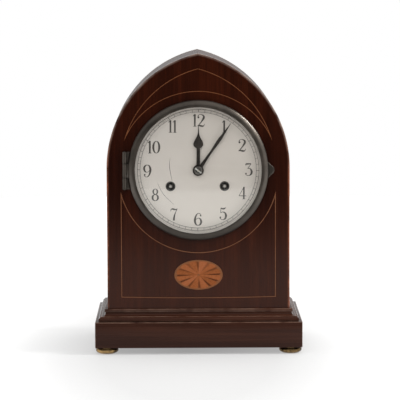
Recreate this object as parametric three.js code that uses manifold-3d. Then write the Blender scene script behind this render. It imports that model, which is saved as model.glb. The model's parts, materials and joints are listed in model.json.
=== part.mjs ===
// A table clock in an inlaid lancet case, with a hinged bezel, a silvered dial, a two-train movement,
// a pendulum and a coiled gong. Millimetres, +Z up, the front faces -Y and the feet stand on Z = 0.
import * as THREE from "three";
import { mergeVertices } from "three/addons/utils/BufferGeometryUtils.js";
import Module from "manifold-3d";

const wasm = await Module();
wasm.setup();

// Fits
const SEAT = 0.3; // gap between a piece and what it rests on or sits in
const RUN = 0.3; // gap round a piece that turns or slides
const GLUE = 0.15; // glue line round an inlay
const BITE = 0.2; // how far two joined solids run into each other
const OVERRUN = 1; // how far a cutting solid runs past a face

// Base
const BASE_WIDTH = 210;
const BASE_DEPTH = 140;
const FOOT_HEIGHT = 6.6;
const FOOT_RADIUS = 11.6;
const FOOT_PAD_RADIUS = 8;
const FOOT_NECK_RADIUS = 9.4;
const FOOT_SIDES = 16;
const BELLY_LOW_SHARE = 0.42; // shares of the height where the foot is widest
const BELLY_HIGH_SHARE = 0.62;
const FOOT_INSET = 0.2; // from the plinth's edge to the foot's edge
const PLINTH_HEIGHT = 25.4;
const PLINTH_RECESS = 9; // depth of the hollow under the plinth
const PLINTH_RIM = 30; // wood left round that hollow
const MOULDING_HEIGHT = 12.4;
const FILLET_HEIGHT = 1.5;
const FILLET_REACH = 2.8; // how far the fillet stands out from the case
const COVE_START = 2.0;
const COVE_REACH = 6.2;
const LIP_REACH = 7.0;
const LIP_HEIGHT = 1.0;
const OVOLO_HEIGHT = 3.8;
const OVOLO_REACH = 9.4;
const QUIRK_REACH = 8.6;
const QUIRK_HEIGHT = 1.2;
const MOULDING_STEPS = 5; // points along each of its curves
const MOULDING_BACK = 3; // how far the moulding stands out behind the case
const BASE_MARGIN = 12.5; // plinth beyond the case at the front and sides
const BACK_MARGIN = 6; // plinth beyond the case at the back

// Case
const CASE_CROWN = 117.7; // from the dial's centre to the point of the arch
const ARCH_RISE = 115.5; // from the springing of the arch to its point
const ARCH_STEPS = 12;
const PANEL_THICKNESS = 10;
const SIDE_THICKNESS = 9;
const BACK_THICKNESS = 8;
const DOOR_INSET = 17; // back board left round the door
const DOOR_SILL = 16; // back board left under the door
const DOOR_GAP = 0.6;
const BUTT_HEIGHT = 24;
const BUTT_REACH = 9; // from the hinge axis to a leaf's edge
const BUTT_LEAF = 1.2;
const BUTT_BARREL_RADIUS = 2;
const BUTT_PIN_RADIUS = 0.8;
const LOWER_BUTT_RISE = 24; // from the door's sill to the middle of each hinge
const UPPER_BUTT_RISE = 112;
const BUTTON_REACH = 14; // from the button's screw to its long end
const BUTTON_TAIL = 6; // from the screw to its short end
const BUTTON_WIDTH = 7;
const BUTTON_THICKNESS = 2;
const BUTTON_STEPS = 6;
const BUTTON_RISE = 92; // above the case's floor
const BUTTON_SCREW_RADIUS = 2.4;
const BUTTON_SCREW_PROUD = 0.8;
const BUTTON_SCREW_SIDES = 12;

// Inlay
const STRING_WIDTH = 1.0;
const STRING_INSET = 14.3; // from the case's edge to the middle of the string line
const STRING_SILL = 11.7; // from the case's floor to the middle of the string line
const STRING_RING_SURPLUS = 3.2; // string ring round the dial, beyond the string lines at the sides
const STRING_RING_DROP = 1.8; // its centre under the dial's centre
const STRING_RING_STEPS = 20;
const INLAY_DEPTH = 1.0;
const PATERA_GAP = 7.65; // from the patera to the string lines over and under it
const PATERA_ASPECT = 1.532; // its width over its height

// Dial, bezel and hands
const BEZEL_RADIUS = 71;
const DIAL_MARGIN = 4.6; // from the dial's edge to the bezel's edge
const DIAL_THICKNESS = 1.4;
const DIAL_REBATE = 2.0;
const DIAL_LEDGE = 6.4; // panel left under the dial's edge
const DIAL_STEPS = 40;
const DIAL_CENTRE_HOLE = 4.8;
const DIAL_FOOT_INSET = 8; // from the panel's hole to the circle that the dial feet stand on
const DIAL_FOOT_RADIUS = 2;
const DIAL_FOOT_ANGLES = [45, 135, 225, 315];
const WIND_HOLE_RADIUS = 4.6;
const BEZEL_HEIGHT = 7.4; // how far the bezel stands out from the panel
const BEZEL_BAND = 1.8; // plain band at the outer edge
const BEZEL_STEP = 1.1; // step in above that band
const BEZEL_STEP_RISE = 0.8;
const BEZEL_SWELL = 1.9; // from the outer edge to the swell's middle
const BEZEL_SWELL_SHARE = 0.66; // its share of the bezel's height
const BEZEL_CREST = 3.6; // from the outer edge to the crest
const BEZEL_WIDTH = 6.6; // from the outer edge to the opening at the front lip
const BEZEL_WALL = 3.2; // thickness of the bezel behind the lip
const LIP_THICKNESS = 2.0; // front lip that holds the glass
const LIP_BEVEL = 1.0;
const GLASS_THICKNESS = 1.6;
const GLASS_SIDES = 30;
const GLASS_FLAT = 0.92; // share of the glass's radius where its flat rim begins
const GLASS_MIDDLE = 0.55; // share of the radius of the dome's middle ring
const GLASS_RISE = 5.6; // how far the glass domes forward
const SIGHT_RING_SHOW = 1.8; // how much of the sight ring shows inside the lip
const SIGHT_RING_SHEET = 0.8;
const KNUCKLE_SIDES = 8;
const KNUCKLE_RADIUS = 2.3;
const KNUCKLE_PIN_RADIUS = 0.9;
const BEZEL_HINGE_OFFSET = 3.2; // from the bezel's edge to the hinge axis
const BEZEL_HINGE_HEIGHT = 38;
const BEZEL_KNUCKLE_HEIGHT = 14; // the middle knuckle, on the bezel
const HINGE_PLATE = 0.7;
const HINGE_ARM = 2; // thickness of the arm from the middle knuckle to the bezel
const HINGE_ARM_BITE = 1.2;
const TAB_REACH = 5.6; // how far the thumb tab stands out past the bezel
const TAB_HALF_HEIGHT = 8;
const TAB_THICKNESS = 1.6;
const TAB_NOSE_RADIUS = 2;
const TAB_WAIST_SHARE = 0.3; // shares of the reach and half-height where the tab narrows
const TAB_WAIST_HALF_SHARE = 0.6;
const TAB_STEPS = 4;
const HOUR_HAND_MARGIN = 20.4; // from each hand's tip to the bezel's opening
const HOUR_HUB_RADIUS = 5.6;
const SPADE_HALF_WIDTH = 4.7;
const MINUTE_HAND_MARGIN = 6.4;
const MINUTE_HUB_RADIUS = 4.4;
const HAND_THICKNESS = 0.7;
const HAND_GAP = 0.9; // between the two hands
const HOUR_HAND_LIFT = 1.9; // from the dial's face to the hour hand
const COLLET_RADIUS = 4.2;
const COLLET_HEIGHT = 1.5;
const COLLET_SIDES = 12;
const HAND_HOLE_SIDES = 12;
const HUB_STEPS = 10;
const ARBOR_PROUD = 1.2; // centre arbor beyond the collet
const HOUR_HAND_ANGLE = -0.5; // degrees clockwise from twelve is negative
const MINUTE_HAND_ANGLE = -35.5;

// Movement frame
const PLATE_THICKNESS = 2;
const PLATE_GAP = 40;
const PLATE_HALF_WIDTH = 54;
const PLATE_TOP = 52; // above the dial's centre
const PLATE_BOTTOM = -43;
const PLATE_CORNER = 6;
const PILLAR_RADIUS = 3;
const PILLAR_INSET = 6;
const SEAT_BOARD_THICKNESS = 10;
const ARBOR_RADIUS = 0.9;
const ARBOR_SIDES = 6;
const PIVOT_SIDES = 6;
const STUD_SIDES = 8;
const PIPE_SIDES = 10;
const ANCHOR_HOLE_RADIUS = 3.5; // in the back plate, for the anchor to pass

// Going train: the two winding arbors, tooth counts and gear modules
const GOING_WIND_X = 26.6;
const STRIKE_WIND_X = -28;
const WIND_Z = -16.3;
const WIND_ARBOR_RADIUS = 2.2;
const WIND_SQUARE = 4; // across the flats
const WIND_PROUD = 1; // the square stands this far out of the dial
const RATCHET_RADIUS = 8;
const RATCHET_TEETH = 14;
const RATCHET_THICKNESS = 1.5;
const RATCHET_TOOTH = 1.6;
const RATCHET_RAKE = 0.15; // share of a tooth that its steep face takes
const CLICK_STUD_RADIUS = 1.1;
const CLICK_STUD_PROUD = 0.6;
const CLICK_EYE_RADIUS = 2.6;
const CLICK_NOSE = 2.2;
const CLICK_NOSE_TURN = 3; // degrees
const CLICK_EYE_START = 119; // span of the round eye, degrees from the line to the tip
const CLICK_EYE_END = 252;
const CLICK_REST_GAP = 0.45; // click tip to ratchet tips
const CLICK_SPREAD = 13; // click pivot to ratchet centre
const CLICK_ANGLE = -20; // directions of the click's pivot and tip from the ratchet's centre, degrees
const CLICK_TIP_ANGLE = 25;
const GREAT_TEETH = 48;
const GREAT_LEAVES = 8;
const GREAT_MODULE = 0.95;
const DRUM_RADIUS = 20;
const DRUM_WALL = 1.6;
const DRUM_LENGTH = 18;
const DRUM_SIDES = 16;
const SPRING_TURNS = 3;
const SPRING_STEPS = 8; // steps a turn
const SPRING_SHEET = 0.8;
const SPRING_EYE = 1; // from the arbor's running gap to the spring's inner end
const SECOND_TEETH = 42;
const SECOND_LEAVES = 7;
const SECOND_MODULE = 0.82;
const CENTRE_TEETH = 60;
const THIRD_TEETH = 54;
const FINE_LEAVES = 6;
const CENTRE_MODULE = 0.58;
const THIRD_MODULE = 0.55;
const ESCAPE_HEIGHT = 30; // escape arbor above the dial's centre
const ESCAPE_TEETH = 52;
const ESCAPE_RADIUS = 11;
const ESCAPE_TOOTH = 1.5;
const ESCAPE_RAKE = 0.3; // share of a tooth that its steep face takes
const ANCHOR_RISE = 15.5; // anchor arbor above the escape arbor
const PALLET_CLEARANCE = 1.1; // pallets to the escape wheel's tips
const WHEEL_THICKNESS = 1.4;
const WHEEL_HUB_RADIUS = 3.8;
const WHEEL_SPOKE = 1.8;
const WHEEL_RIM = 3; // rim inside the pitch circle, in modules
const WHEEL_SPOKES = 4;
const WHEEL_TIP = 0.95; // heights of the teeth over and under the pitch circle, in modules
const WHEEL_ROOT = 1.25;
const LEAF_TIP = 0.7;
const LEAF_ROOT = 1.4;
const PINION_LENGTH = 5;
const GREAT_GAP = 2; // from the front plate to the great wheels
const GREAT_THICKNESS = 2;
const CENTRE_GAP = 3; // from the barrels to the centre wheel
const SECOND_GAP = 6; // from the centre wheel to the intermediate wheel
const STRIKE_SECOND_SHIFT = 1; // the strike's second wheel in front of the intermediate wheel
const THIRD_GAP = 11; // from the front plate to the third wheel
const ESCAPE_GAP = 4; // from the escape wheel to the back plate

// Motion work
const CANNON_LEAVES = 8;
const MINUTE_TEETH = 24;
const MINUTE_MODULE = 0.75;
const MINUTE_LEAVES = 8;
const HOUR_TEETH = 32;
const MINUTE_STUD_RADIUS = 0.8;
const MINUTE_STUD_PROUD = 0.4;
const MINUTE_WHEEL_ANGLE = 45; // degrees from +X about the dial's centre
const CANNON_PIPE_RADIUS = 2;
const CANNON_NOSE = 0.4; // the pipe is thinner by this much in the minute hand
const HOUR_PIPE_RADIUS = 3.3;
const HOUR_PIPE_SIDES = 12;
const MINUTE_BACK = -0.6; // depths, where the front plate's face is 0
const MINUTE_FRONT = -6.6;
const HOUR_WHEEL_BACK = -4.2;
const CANNON_SPAN = 2.2; // depth of the cannon pinion's leaves

// Striking train
const STRIKE_SECOND_ANGLE = 93; // directions from each wheel to the next, degrees from +X
const STRIKE_SECOND_MODULE = 0.686;
const PIN_WHEEL_ANGLE = 70;
const PIN_TEETH = 36;
const PIN_MODULE = 0.66;
const LIFTING_PINS = 15;
const LIFTING_PIN_RING = 9;
const LIFTING_PIN_RADIUS = 0.7;
const LIFTING_PIN_SIDES = 3;
const PIN_LENGTH = 3.6;
const PIN_GAP = 18; // from the front plate to the pin wheel
const STOP_WHEEL_ANGLE = 75;
const STOP_TEETH = 30;
const STOP_MODULE = 0.57;
const STOP_GAP = 6; // from the stop wheel to the back plate
const FLY_ANGLE = 165;
const FLY_HALF_WIDTH = 6.5;
const FLY_LENGTH = 8;
const FLY_SHEET = 0.8;
const FLY_SHIFT = 1; // the vanes in front of the centre wheel
const COUNT_WHEEL_RADIUS = 16;
const COUNT_NOTCHES = 12;
const COUNT_NOTCH = 2.4;
const COUNT_THICKNESS = 1.2;
const COUNT_STEP = 6; // blows between the points of its edge
const COUNT_ARBOR = 2; // strike second arbor behind the back plate
const HAMMER_X = -47;
const HAMMER_Z = 26;
const HAMMER_HEAD_RADIUS = 4.5;
const HAMMER_HEAD_LENGTH = 12.8;
const HAMMER_ROD_RADIUS = 1.1;
const HAMMER_REST_GAP = 0.9; // hammer to gong
const HAMMER_SIDES = 12;
const HAMMER_ROD_SIDES = 5;
const HAMMER_ROD_STEPS = 8;
const HAMMER_ROD_DROP = 16; // straight start of the rod
const HAMMER_ROD_RISE = 14; // straight end of the rod above the head
const HAMMER_ROD_LEAD = 6; // its bend in front of the gong
const HAMMER_HUB_RADIUS = 3;
const HAMMER_HUB_LENGTH = 4;
const HAMMER_HUB_GAP = 2; // from the back plate
const HAMMER_TAIL = 2; // thickness of the lifting tail
const HAMMER_TAIL_GAP = 0.8; // from the pin wheel
const HAMMER_TAIL_REST = 1; // from the lifting pins

// Pendulum and gong
const PENDULUM_LENGTH = 147; // from the suspension to the middle of the bob
const PENDULUM_SHARE = 0.2365; // rod's place in the room between the back plate and the back board
const ROD_CLEARANCE = 9; // from the rod's end to the case's floor
const ROD_RADIUS = 1.1;
const BOB_RADIUS = 20;
const BOB_SIDES = 18;
const BOB_THICKNESS = 12;
const NUT_RADIUS = 4.2;
const NUT_HEIGHT = 4;
const ROD_TAIL = 7; // rod below the nut
const STUD_RADIUS = 1.2;
const CRUTCH_LENGTH = 32;
const CRUTCH_GAP = 1.2; // from the back plate
const CRUTCH_THICKNESS = 1.6;
const CRUTCH_HALF_WIDTH = 1.6;
const CRUTCH_HUB_RADIUS = 2.6;
const FORK_HALF_HEIGHT = 2.2;
const FORK_REACH = 3; // behind the rod's middle
const COCK_GAP = 6; // from the back plate to the cock's bridge
const COCK_THICKNESS = 2.5;
const COCK_HALF_WIDTH = 18;
const COCK_HALF_HEIGHT = 4;
const COCK_LEG = 5;
const STUD_REACH = 3; // behind the rod's middle
const EYE_HALF_WIDTH = 3.2;
const EYE_HALF_DEPTH = 1.4;
const EYE_DROP = 4; // from the suspension point
const EYE_RISE = 3.6;
const STRIP_HALF_WIDTH = 2.2;
const STRIP_HALF_SHEET = 0.3;
const STRIP_DROP = 16;
const CHOP_HALF_WIDTH = 2.6;
const CHOP_HALF_DEPTH = 1.2;
const CHOP_DROP = 20;
const PALLET_ANGLE = 42; // directions of the anchor's corners from the escape arbor, degrees from +X
const HEEL_ANGLE = 34;
const SHOULDER_ANGLE = 48;
const BELLY_ANGLE = 56;
const HEEL_REACH = 1.6; // how far they stand outside the pallets
const SHOULDER_REACH = 3.4;
const BELLY_REACH = 0.7;
const ANCHOR_BELLY = 2.4; // under the anchor's arbor
const ANCHOR_CROWN_HALF = 2.6; // beside and above it
const ANCHOR_CROWN_RISE = 2.2;
const NUT_SIDES = 16;
const BOB_FACE_SHARE = 0.6; // shares of the bob's radius and half thickness where its face bends
const BOB_FACE_DEPTH_SHARE = 0.84;
const BOB_EDGE_SHARE = 0.94;
const BOB_EDGE_DEPTH_SHARE = 0.3;
const GONG_SHARE = 0.5574; // the gong's place in the same room
const GONG_X = -4;
const GONG_RISE = 63; // gong centre above the case's floor
const GONG_WIRE_RADIUS = 1.5;
const GONG_INNER_RADIUS = 8;
const GONG_PITCH = 7.5;
const GONG_LOOPS = 3.6;
const GONG_STEPS = 16; // steps a loop
const GONG_SIDES = 5;
const GONG_LEAD = 3; // straight end that enters the block
const GONG_FOOT_HALF = 13;
const GONG_FOOT_HEIGHT = 8;
const GONG_FOOT_CLEARANCE = 5.2; // to the back board
const GONG_FOOT_SETBACK = 3; // from the gong's plane
const GONG_POST = 6; // thickness of the post
const GONG_POST_SETBACK = 8;
const GONG_HEAD_HALF = 2.6;
const GONG_HEAD_HEIGHT = 3.2;
const GONG_HEAD_NOSE = 2; // in front of the gong's plane
const GONG_MEASURE_POINTS = 300;

// Derived places
const CASE_WIDTH = BASE_WIDTH - 2 * BASE_MARGIN;
const HALF_WIDTH = CASE_WIDTH / 2;
const PLINTH_TOP = FOOT_HEIGHT + PLINTH_HEIGHT;
const FLOOR = PLINTH_TOP + MOULDING_HEIGHT;
const ROD_END_DROP = PENDULUM_LENGTH + BOB_RADIUS + SEAT + NUT_HEIGHT + ROD_TAIL; // under the suspension
const DIAL_RISE = ROD_END_DROP + ROD_CLEARANCE - ESCAPE_HEIGHT - ANCHOR_RISE; // above the case's floor
const SPRINGING = FLOOR + DIAL_RISE + CASE_CROWN - ARCH_RISE;
const ARCH_RADIUS = (HALF_WIDTH ** 2 + ARCH_RISE ** 2) / (2 * HALF_WIDTH);
const ARCH_OFFSET = ARCH_RADIUS - HALF_WIDTH; // arc centres beyond the middle line
const CASE_FRONT = -BASE_DEPTH / 2 + BASE_MARGIN;
const CASE_BACK = BASE_DEPTH / 2 - BACK_MARGIN;
const PANEL_BACK = CASE_FRONT + PANEL_THICKNESS;
const BOARD_FRONT = CASE_BACK - BACK_THICKNESS;
const DIAL_Z = FLOOR + DIAL_RISE;
const STRING_RING_Z = DIAL_Z - STRING_RING_DROP;
const STRING_RING_RADIUS = HALF_WIDTH - STRING_INSET + STRING_RING_SURPLUS;
const STRING_SILL_Z = FLOOR + STRING_SILL;
const PATERA_ROOM = STRING_RING_Z - STRING_RING_RADIUS - STRING_SILL_Z; // between the string lines
const PATERA_Z = STRING_SILL_Z + PATERA_ROOM / 2;
const PATERA_HALF_HEIGHT = PATERA_ROOM / 2 - PATERA_GAP;
const PATERA_HALF_WIDTH = PATERA_HALF_HEIGHT * PATERA_ASPECT;
const DIAL_RADIUS = BEZEL_RADIUS - DIAL_MARGIN;
const PANEL_HOLE_RADIUS = DIAL_RADIUS - DIAL_LEDGE;
const DIAL_FOOT_RING = PANEL_HOLE_RADIUS - DIAL_FOOT_INSET;
const BEZEL_OPENING = BEZEL_RADIUS - BEZEL_WIDTH;
const BEZEL_WALL_RADIUS = BEZEL_RADIUS - BEZEL_WALL;
const SIGHT_RING_RADIUS = BEZEL_OPENING - SIGHT_RING_SHOW;
const BEZEL_HINGE_X = BEZEL_RADIUS + BEZEL_HINGE_OFFSET;
const HOUR_HAND_LENGTH = BEZEL_OPENING - HOUR_HAND_MARGIN;
const MINUTE_HAND_LENGTH = BEZEL_OPENING - MINUTE_HAND_MARGIN;
const PLATE_FRONT = PANEL_BACK + SEAT;
const BACK_PLATE = PLATE_THICKNESS + PLATE_GAP; // movement depths start at the front plate's face
const PLATE_BACK = BACK_PLATE + PLATE_THICKNESS;
const DIAL_FACE = CASE_FRONT + DIAL_REBATE - SEAT - DIAL_THICKNESS - PLATE_FRONT;
const DIAL_BACK = DIAL_FACE + DIAL_THICKNESS;
const BOARD_DEPTH = BOARD_FRONT - PLATE_FRONT;
const BACK_ROOM = BOARD_DEPTH - PLATE_BACK; // between the back plate and the back board
const ROD_DEPTH = PLATE_BACK + PENDULUM_SHARE * BACK_ROOM;
const GONG_DEPTH = PLATE_BACK + GONG_SHARE * BACK_ROOM;

// Points, outlines and solids

function point(x, y) {
  return new THREE.Vector2(x, y);
}

function polar(radius, angle, centre = point(0, 0)) {
  return point(centre.x + radius * Math.cos(angle), centre.y + radius * Math.sin(angle));
}

function radians(degrees) {
  return (degrees * Math.PI) / 180;
}

function arc(x, y, radius, from, to, steps) {
  const points = [];
  for (let i = 0; i <= steps; i++) {
    points.push(polar(radius, from + ((to - from) * i) / steps, point(x, y)));
  }
  return points;
}

function circle(x, y, radius, sides) {
  return arc(x, y, radius, 0, 2 * Math.PI, sides).slice(0, -1);
}

// One closed outline of several stretches, with no point given twice.
function outline(...stretches) {
  const kept = [];
  for (const p of stretches.flat()) {
    if (!kept.length || kept[kept.length - 1].distanceTo(p) > 1e-4) kept.push(p);
  }
  if (kept[0].distanceTo(kept[kept.length - 1]) < 1e-4) kept.pop();
  return kept;
}

function mirrored(points) {
  return points.map((p) => point(-p.x, p.y)).reverse();
}

function shapeOf(points, ...holes) {
  const shape = new THREE.Shape(points);
  holes.forEach((hole) => shape.holes.push(new THREE.Path(hole)));
  return shape;
}

function extruded(shape, depth) {
  return new THREE.ExtrudeGeometry(shape, { depth, bevelEnabled: false });
}

// An outline in X and Z, drawn out from y0 to y1.
function alongY(shape, y0, y1) {
  return extruded(shape, y1 - y0).rotateX(Math.PI / 2).translate(0, y1, 0);
}

// An outline in Y and Z, drawn out from x0 to x1.
function alongX(shape, x0, x1) {
  const turn = new THREE.Matrix4().makeBasis(
    new THREE.Vector3(0, 1, 0),
    new THREE.Vector3(0, 0, 1),
    new THREE.Vector3(1, 0, 0),
  );
  return extruded(shape, x1 - x0).applyMatrix4(turn).translate(x0, 0, 0);
}

function block(x0, x1, y0, y1, z0, z1) {
  const box = new THREE.BoxGeometry(x1 - x0, y1 - y0, z1 - z0);
  return box.translate((x0 + x1) / 2, (y0 + y1) / 2, (z0 + z1) / 2);
}

function rodY(centre, radius, y0, y1, sides) {
  const rod = new THREE.CylinderGeometry(radius, radius, y1 - y0, sides);
  return rod.translate(centre.x, (y0 + y1) / 2, centre.y);
}

function rodZ(x, y, radius, z0, z1, sides) {
  const rod = new THREE.CylinderGeometry(radius, radius, z1 - z0, sides);
  return rod.rotateX(Math.PI / 2).translate(x, y, (z0 + z1) / 2);
}

// A polygon's radius, so that a circle of the given radius fits inside it.
function around(radius, sides) {
  return radius / Math.cos(Math.PI / sides);
}

// A profile of radius and depth, turned about the Y axis. Its faces point out when it runs anticlockwise.
function turnedY(profile, sides) {
  const points = profile.map(([r, y]) => point(r, y));
  if (THREE.ShapeUtils.area(points) < 0) points.reverse();
  return new THREE.LatheGeometry(points, sides);
}

function toManifold(geometry) {
  const bare = geometry.index ? geometry.toNonIndexed() : geometry.clone();
  bare.deleteAttribute("normal");
  bare.deleteAttribute("uv");
  const merged = mergeVertices(bare, 1e-4);
  return new wasm.Manifold(
    new wasm.Mesh({
      numProp: 3,
      vertProperties: new Float32Array(merged.attributes.position.array),
      triVerts: new Uint32Array(merged.index.array),
    }),
  );
}

function toGeometry(manifold) {
  const mesh = manifold.getMesh();
  const geometry = new THREE.BufferGeometry();
  geometry.setAttribute("position", new THREE.BufferAttribute(mesh.vertProperties, 3));
  geometry.setIndex(new THREE.BufferAttribute(mesh.triVerts, 1));
  geometry.computeVertexNormals();
  return geometry;
}

function join(...pieces) {
  return toGeometry(pieces.map(toManifold).reduce((a, b) => a.add(b)));
}

function cut(piece, ...tools) {
  return toGeometry(tools.map(toManifold).reduce((a, b) => a.subtract(b), toManifold(piece)));
}

function common(a, b) {
  return toGeometry(toManifold(a).intersect(toManifold(b)));
}

// Scene graph

const clock = new THREE.Group();
const base = new THREE.Group();
const body = new THREE.Group();
const front = new THREE.Group(); // dial and bezel, from the dial's centre on the panel's face
front.position.set(0, CASE_FRONT, DIAL_Z);
const movement = new THREE.Group(); // from the dial's centre on the front plate's face
movement.position.set(0, PLATE_FRONT, DIAL_Z);
clock.add(base, body, front, movement);

function finish(color, roughness, metalness) {
  return () => new THREE.MeshStandardMaterial({ color, roughness, metalness });
}

const mahogany = finish(0x4a2418, 0.35, 0);
const innerWood = finish(0x6b4a30, 0.8, 0);
const boxwood = finish(0xa9825c, 0.5, 0);
const brass = finish(0x8f7a4e, 0.35, 1);
const bezelBrass = finish(0x6e6455, 0.3, 1);
const silver = finish(0xc9c3ba, 0.45, 0.6);
const steel = finish(0x3a3836, 0.35, 1);
const iron = finish(0x2c2b2a, 0.7, 0.6);
const glass = finish(0xe8f0ec, 0.05, 0);

function add(group, name, geometry, material) {
  const mesh = new THREE.Mesh(geometry, material());
  mesh.name = name;
  group.add(mesh);
}

// Base

function foot(x, y) {
  const profile = [
    [0, 0],
    [FOOT_PAD_RADIUS, 0],
    [FOOT_RADIUS, FOOT_HEIGHT * BELLY_LOW_SHARE],
    [FOOT_RADIUS, FOOT_HEIGHT * BELLY_HIGH_SHARE],
    [FOOT_NECK_RADIUS, FOOT_HEIGHT],
    [0, FOOT_HEIGHT],
  ];
  return turnedY(profile, FOOT_SIDES).rotateX(Math.PI / 2).translate(x, y, 0);
}

const FOOT_X = BASE_WIDTH / 2 - FOOT_INSET - FOOT_RADIUS;
const FOOT_Y = BASE_DEPTH / 2 - FOOT_INSET - FOOT_RADIUS;
for (const [end, y] of [["front", -FOOT_Y], ["rear", FOOT_Y]]) {
  for (const [hand, x] of [["left", -FOOT_X], ["right", FOOT_X]]) {
    add(base, `foot_${end}_${hand}`, foot(x, y), brass);
  }
}

const plinthX = BASE_WIDTH / 2;
const plinthY = BASE_DEPTH / 2;
add(
  base,
  "plinth_block",
  cut(
    block(-plinthX, plinthX, -plinthY, plinthY, FOOT_HEIGHT, PLINTH_TOP),
    block(
      PLINTH_RIM - plinthX,
      plinthX - PLINTH_RIM,
      PLINTH_RIM - plinthY,
      plinthY - PLINTH_RIM,
      FOOT_HEIGHT - PLINTH_RECESS,
      FOOT_HEIGHT + PLINTH_RECESS,
    ),
  ),
  mahogany,
);

// The moulding's section, as reach from the case's face against height, from the plinth up.
function mouldingSection() {
  const lip = QUIRK_HEIGHT + OVOLO_HEIGHT;
  const path = new THREE.Path();
  path.moveTo(QUIRK_REACH, 0);
  path.lineTo(QUIRK_REACH, QUIRK_HEIGHT);
  path.lineTo(OVOLO_REACH, QUIRK_HEIGHT);
  path.quadraticCurveTo(OVOLO_REACH, lip, LIP_REACH, lip);
  path.lineTo(LIP_REACH, lip + LIP_HEIGHT);
  path.lineTo(COVE_REACH, lip + LIP_HEIGHT);
  path.quadraticCurveTo(
    COVE_START,
    lip + LIP_HEIGHT,
    COVE_START,
    MOULDING_HEIGHT - FILLET_HEIGHT,
  );
  path.lineTo(FILLET_REACH, MOULDING_HEIGHT - FILLET_HEIGHT);
  path.lineTo(FILLET_REACH, MOULDING_HEIGHT);
  return path.getPoints(MOULDING_STEPS);
}

function baseMoulding() {
  const section = mouldingSection();
  const back = CASE_BACK + MOULDING_BACK;
  const frontEdge = section.map((p) => point(CASE_FRONT - p.x, PLINTH_TOP + p.y));
  const sideEdge = section.map((p) => point(HALF_WIDTH + p.x, PLINTH_TOP + p.y));
  const run = outline(frontEdge, [point(back, FLOOR), point(back, PLINTH_TOP)]);
  const ends = outline(sideEdge, mirrored(sideEdge));
  return common(
    alongX(shapeOf(run), -BASE_WIDTH, BASE_WIDTH),
    alongY(shapeOf(ends), -BASE_DEPTH, BASE_DEPTH),
  );
}

add(base, "base_moulding", baseMoulding(), mahogany);

// Case

// One side of the arch: from the floor, up the right edge, to the middle line.
function archEdge(inset, bottom, middle = 0) {
  const radius = ARCH_RADIUS - inset;
  const end = Math.acos((ARCH_OFFSET + middle) / radius);
  return [
    point(HALF_WIDTH - inset, bottom),
    ...arc(-ARCH_OFFSET, SPRINGING, radius, 0, end, ARCH_STEPS),
  ];
}

function lancet(inset, bottom) {
  const edge = archEdge(inset, bottom);
  return outline(edge, mirrored(edge));
}

// The leaf of string line between the arch and the ring round the dial, grown by a margin.
function upperString(grow) {
  const lineRadius = ARCH_RADIUS - STRING_INSET + grow;
  const ringRadius = STRING_RING_RADIUS - grow;
  const tip = meeting(
    point(-ARCH_OFFSET, SPRINGING),
    lineRadius,
    point(0, STRING_RING_Z),
    ringRadius,
    1,
  );
  const start = Math.asin((tip.y - SPRINGING) / lineRadius);
  const end = Math.acos(ARCH_OFFSET / lineRadius);
  const edge = arc(-ARCH_OFFSET, SPRINGING, lineRadius, start, end, ARCH_STEPS);
  const ringStart = Math.atan2(tip.y - STRING_RING_Z, tip.x);
  const ring = arc(0, STRING_RING_Z, ringRadius, Math.PI - ringStart, ringStart, STRING_RING_STEPS);
  return outline(edge, mirrored(edge), ring);
}

// The string line round the lower panel, which the same ring closes at its top.
function lowerString(grow) {
  const x = HALF_WIDTH - STRING_INSET + grow;
  const ringRadius = STRING_RING_RADIUS - grow;
  const side = Math.acos(x / ringRadius);
  const ring = arc(0, STRING_RING_Z, ringRadius, -side, side - Math.PI, STRING_RING_STEPS);
  return outline([point(-x, STRING_SILL_Z - grow), point(x, STRING_SILL_Z - grow)], ring);
}

function ellipse(grow) {
  return arc(0, 0, 1, 0, 2 * Math.PI, 2 * ARCH_STEPS)
    .slice(0, -1)
    .map((p) =>
      point(
        p.x * (PATERA_HALF_WIDTH + grow),
        PATERA_Z + p.y * (PATERA_HALF_HEIGHT + grow),
      ),
    );
}

// Where two circles meet: side 1 is to the left of the line from a to b, side -1 to its right.
function meeting(a, radiusA, b, radiusB, side) {
  const line = b.clone().sub(a);
  const d = line.length();
  line.divideScalar(d);
  const along = (radiusA ** 2 - radiusB ** 2 + d ** 2) / (2 * d);
  const off = side * Math.sqrt(radiusA ** 2 - along ** 2);
  return point(a.x + line.x * along - line.y * off, a.y + line.y * along + line.x * off);
}

function frontPanel() {
  const half = STRING_WIDTH / 2 + GLUE;
  const grooveEnd = CASE_FRONT + INLAY_DEPTH;
  const groove = (loop) =>
    alongY(shapeOf(loop(half), loop(-half)), CASE_FRONT - INLAY_DEPTH, grooveEnd);
  const dialCentre = point(0, DIAL_Z);
  return cut(
    alongY(shapeOf(lancet(0, FLOOR)), CASE_FRONT, PANEL_BACK),
    rodY(dialCentre, DIAL_RADIUS + SEAT, CASE_FRONT - OVERRUN, CASE_FRONT + DIAL_REBATE, DIAL_STEPS),
    rodY(dialCentre, PANEL_HOLE_RADIUS, CASE_FRONT, PANEL_BACK + OVERRUN, DIAL_STEPS / 2),
    groove(upperString),
    groove(lowerString),
    alongY(shapeOf(ellipse(GLUE)), CASE_FRONT - INLAY_DEPTH, grooveEnd),
  );
}

add(body, "front_panel", frontPanel(), mahogany);

function stringLine(loop) {
  const half = STRING_WIDTH / 2;
  return alongY(shapeOf(loop(half), loop(-half)), CASE_FRONT, CASE_FRONT + INLAY_DEPTH - GLUE);
}

add(body, "stringing_upper", stringLine(upperString), boxwood);
add(body, "stringing_lower", stringLine(lowerString), boxwood);
add(
  body,
  "patera",
  alongY(shapeOf(ellipse(0)), CASE_FRONT, CASE_FRONT + INLAY_DEPTH - GLUE),
  boxwood,
);

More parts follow.
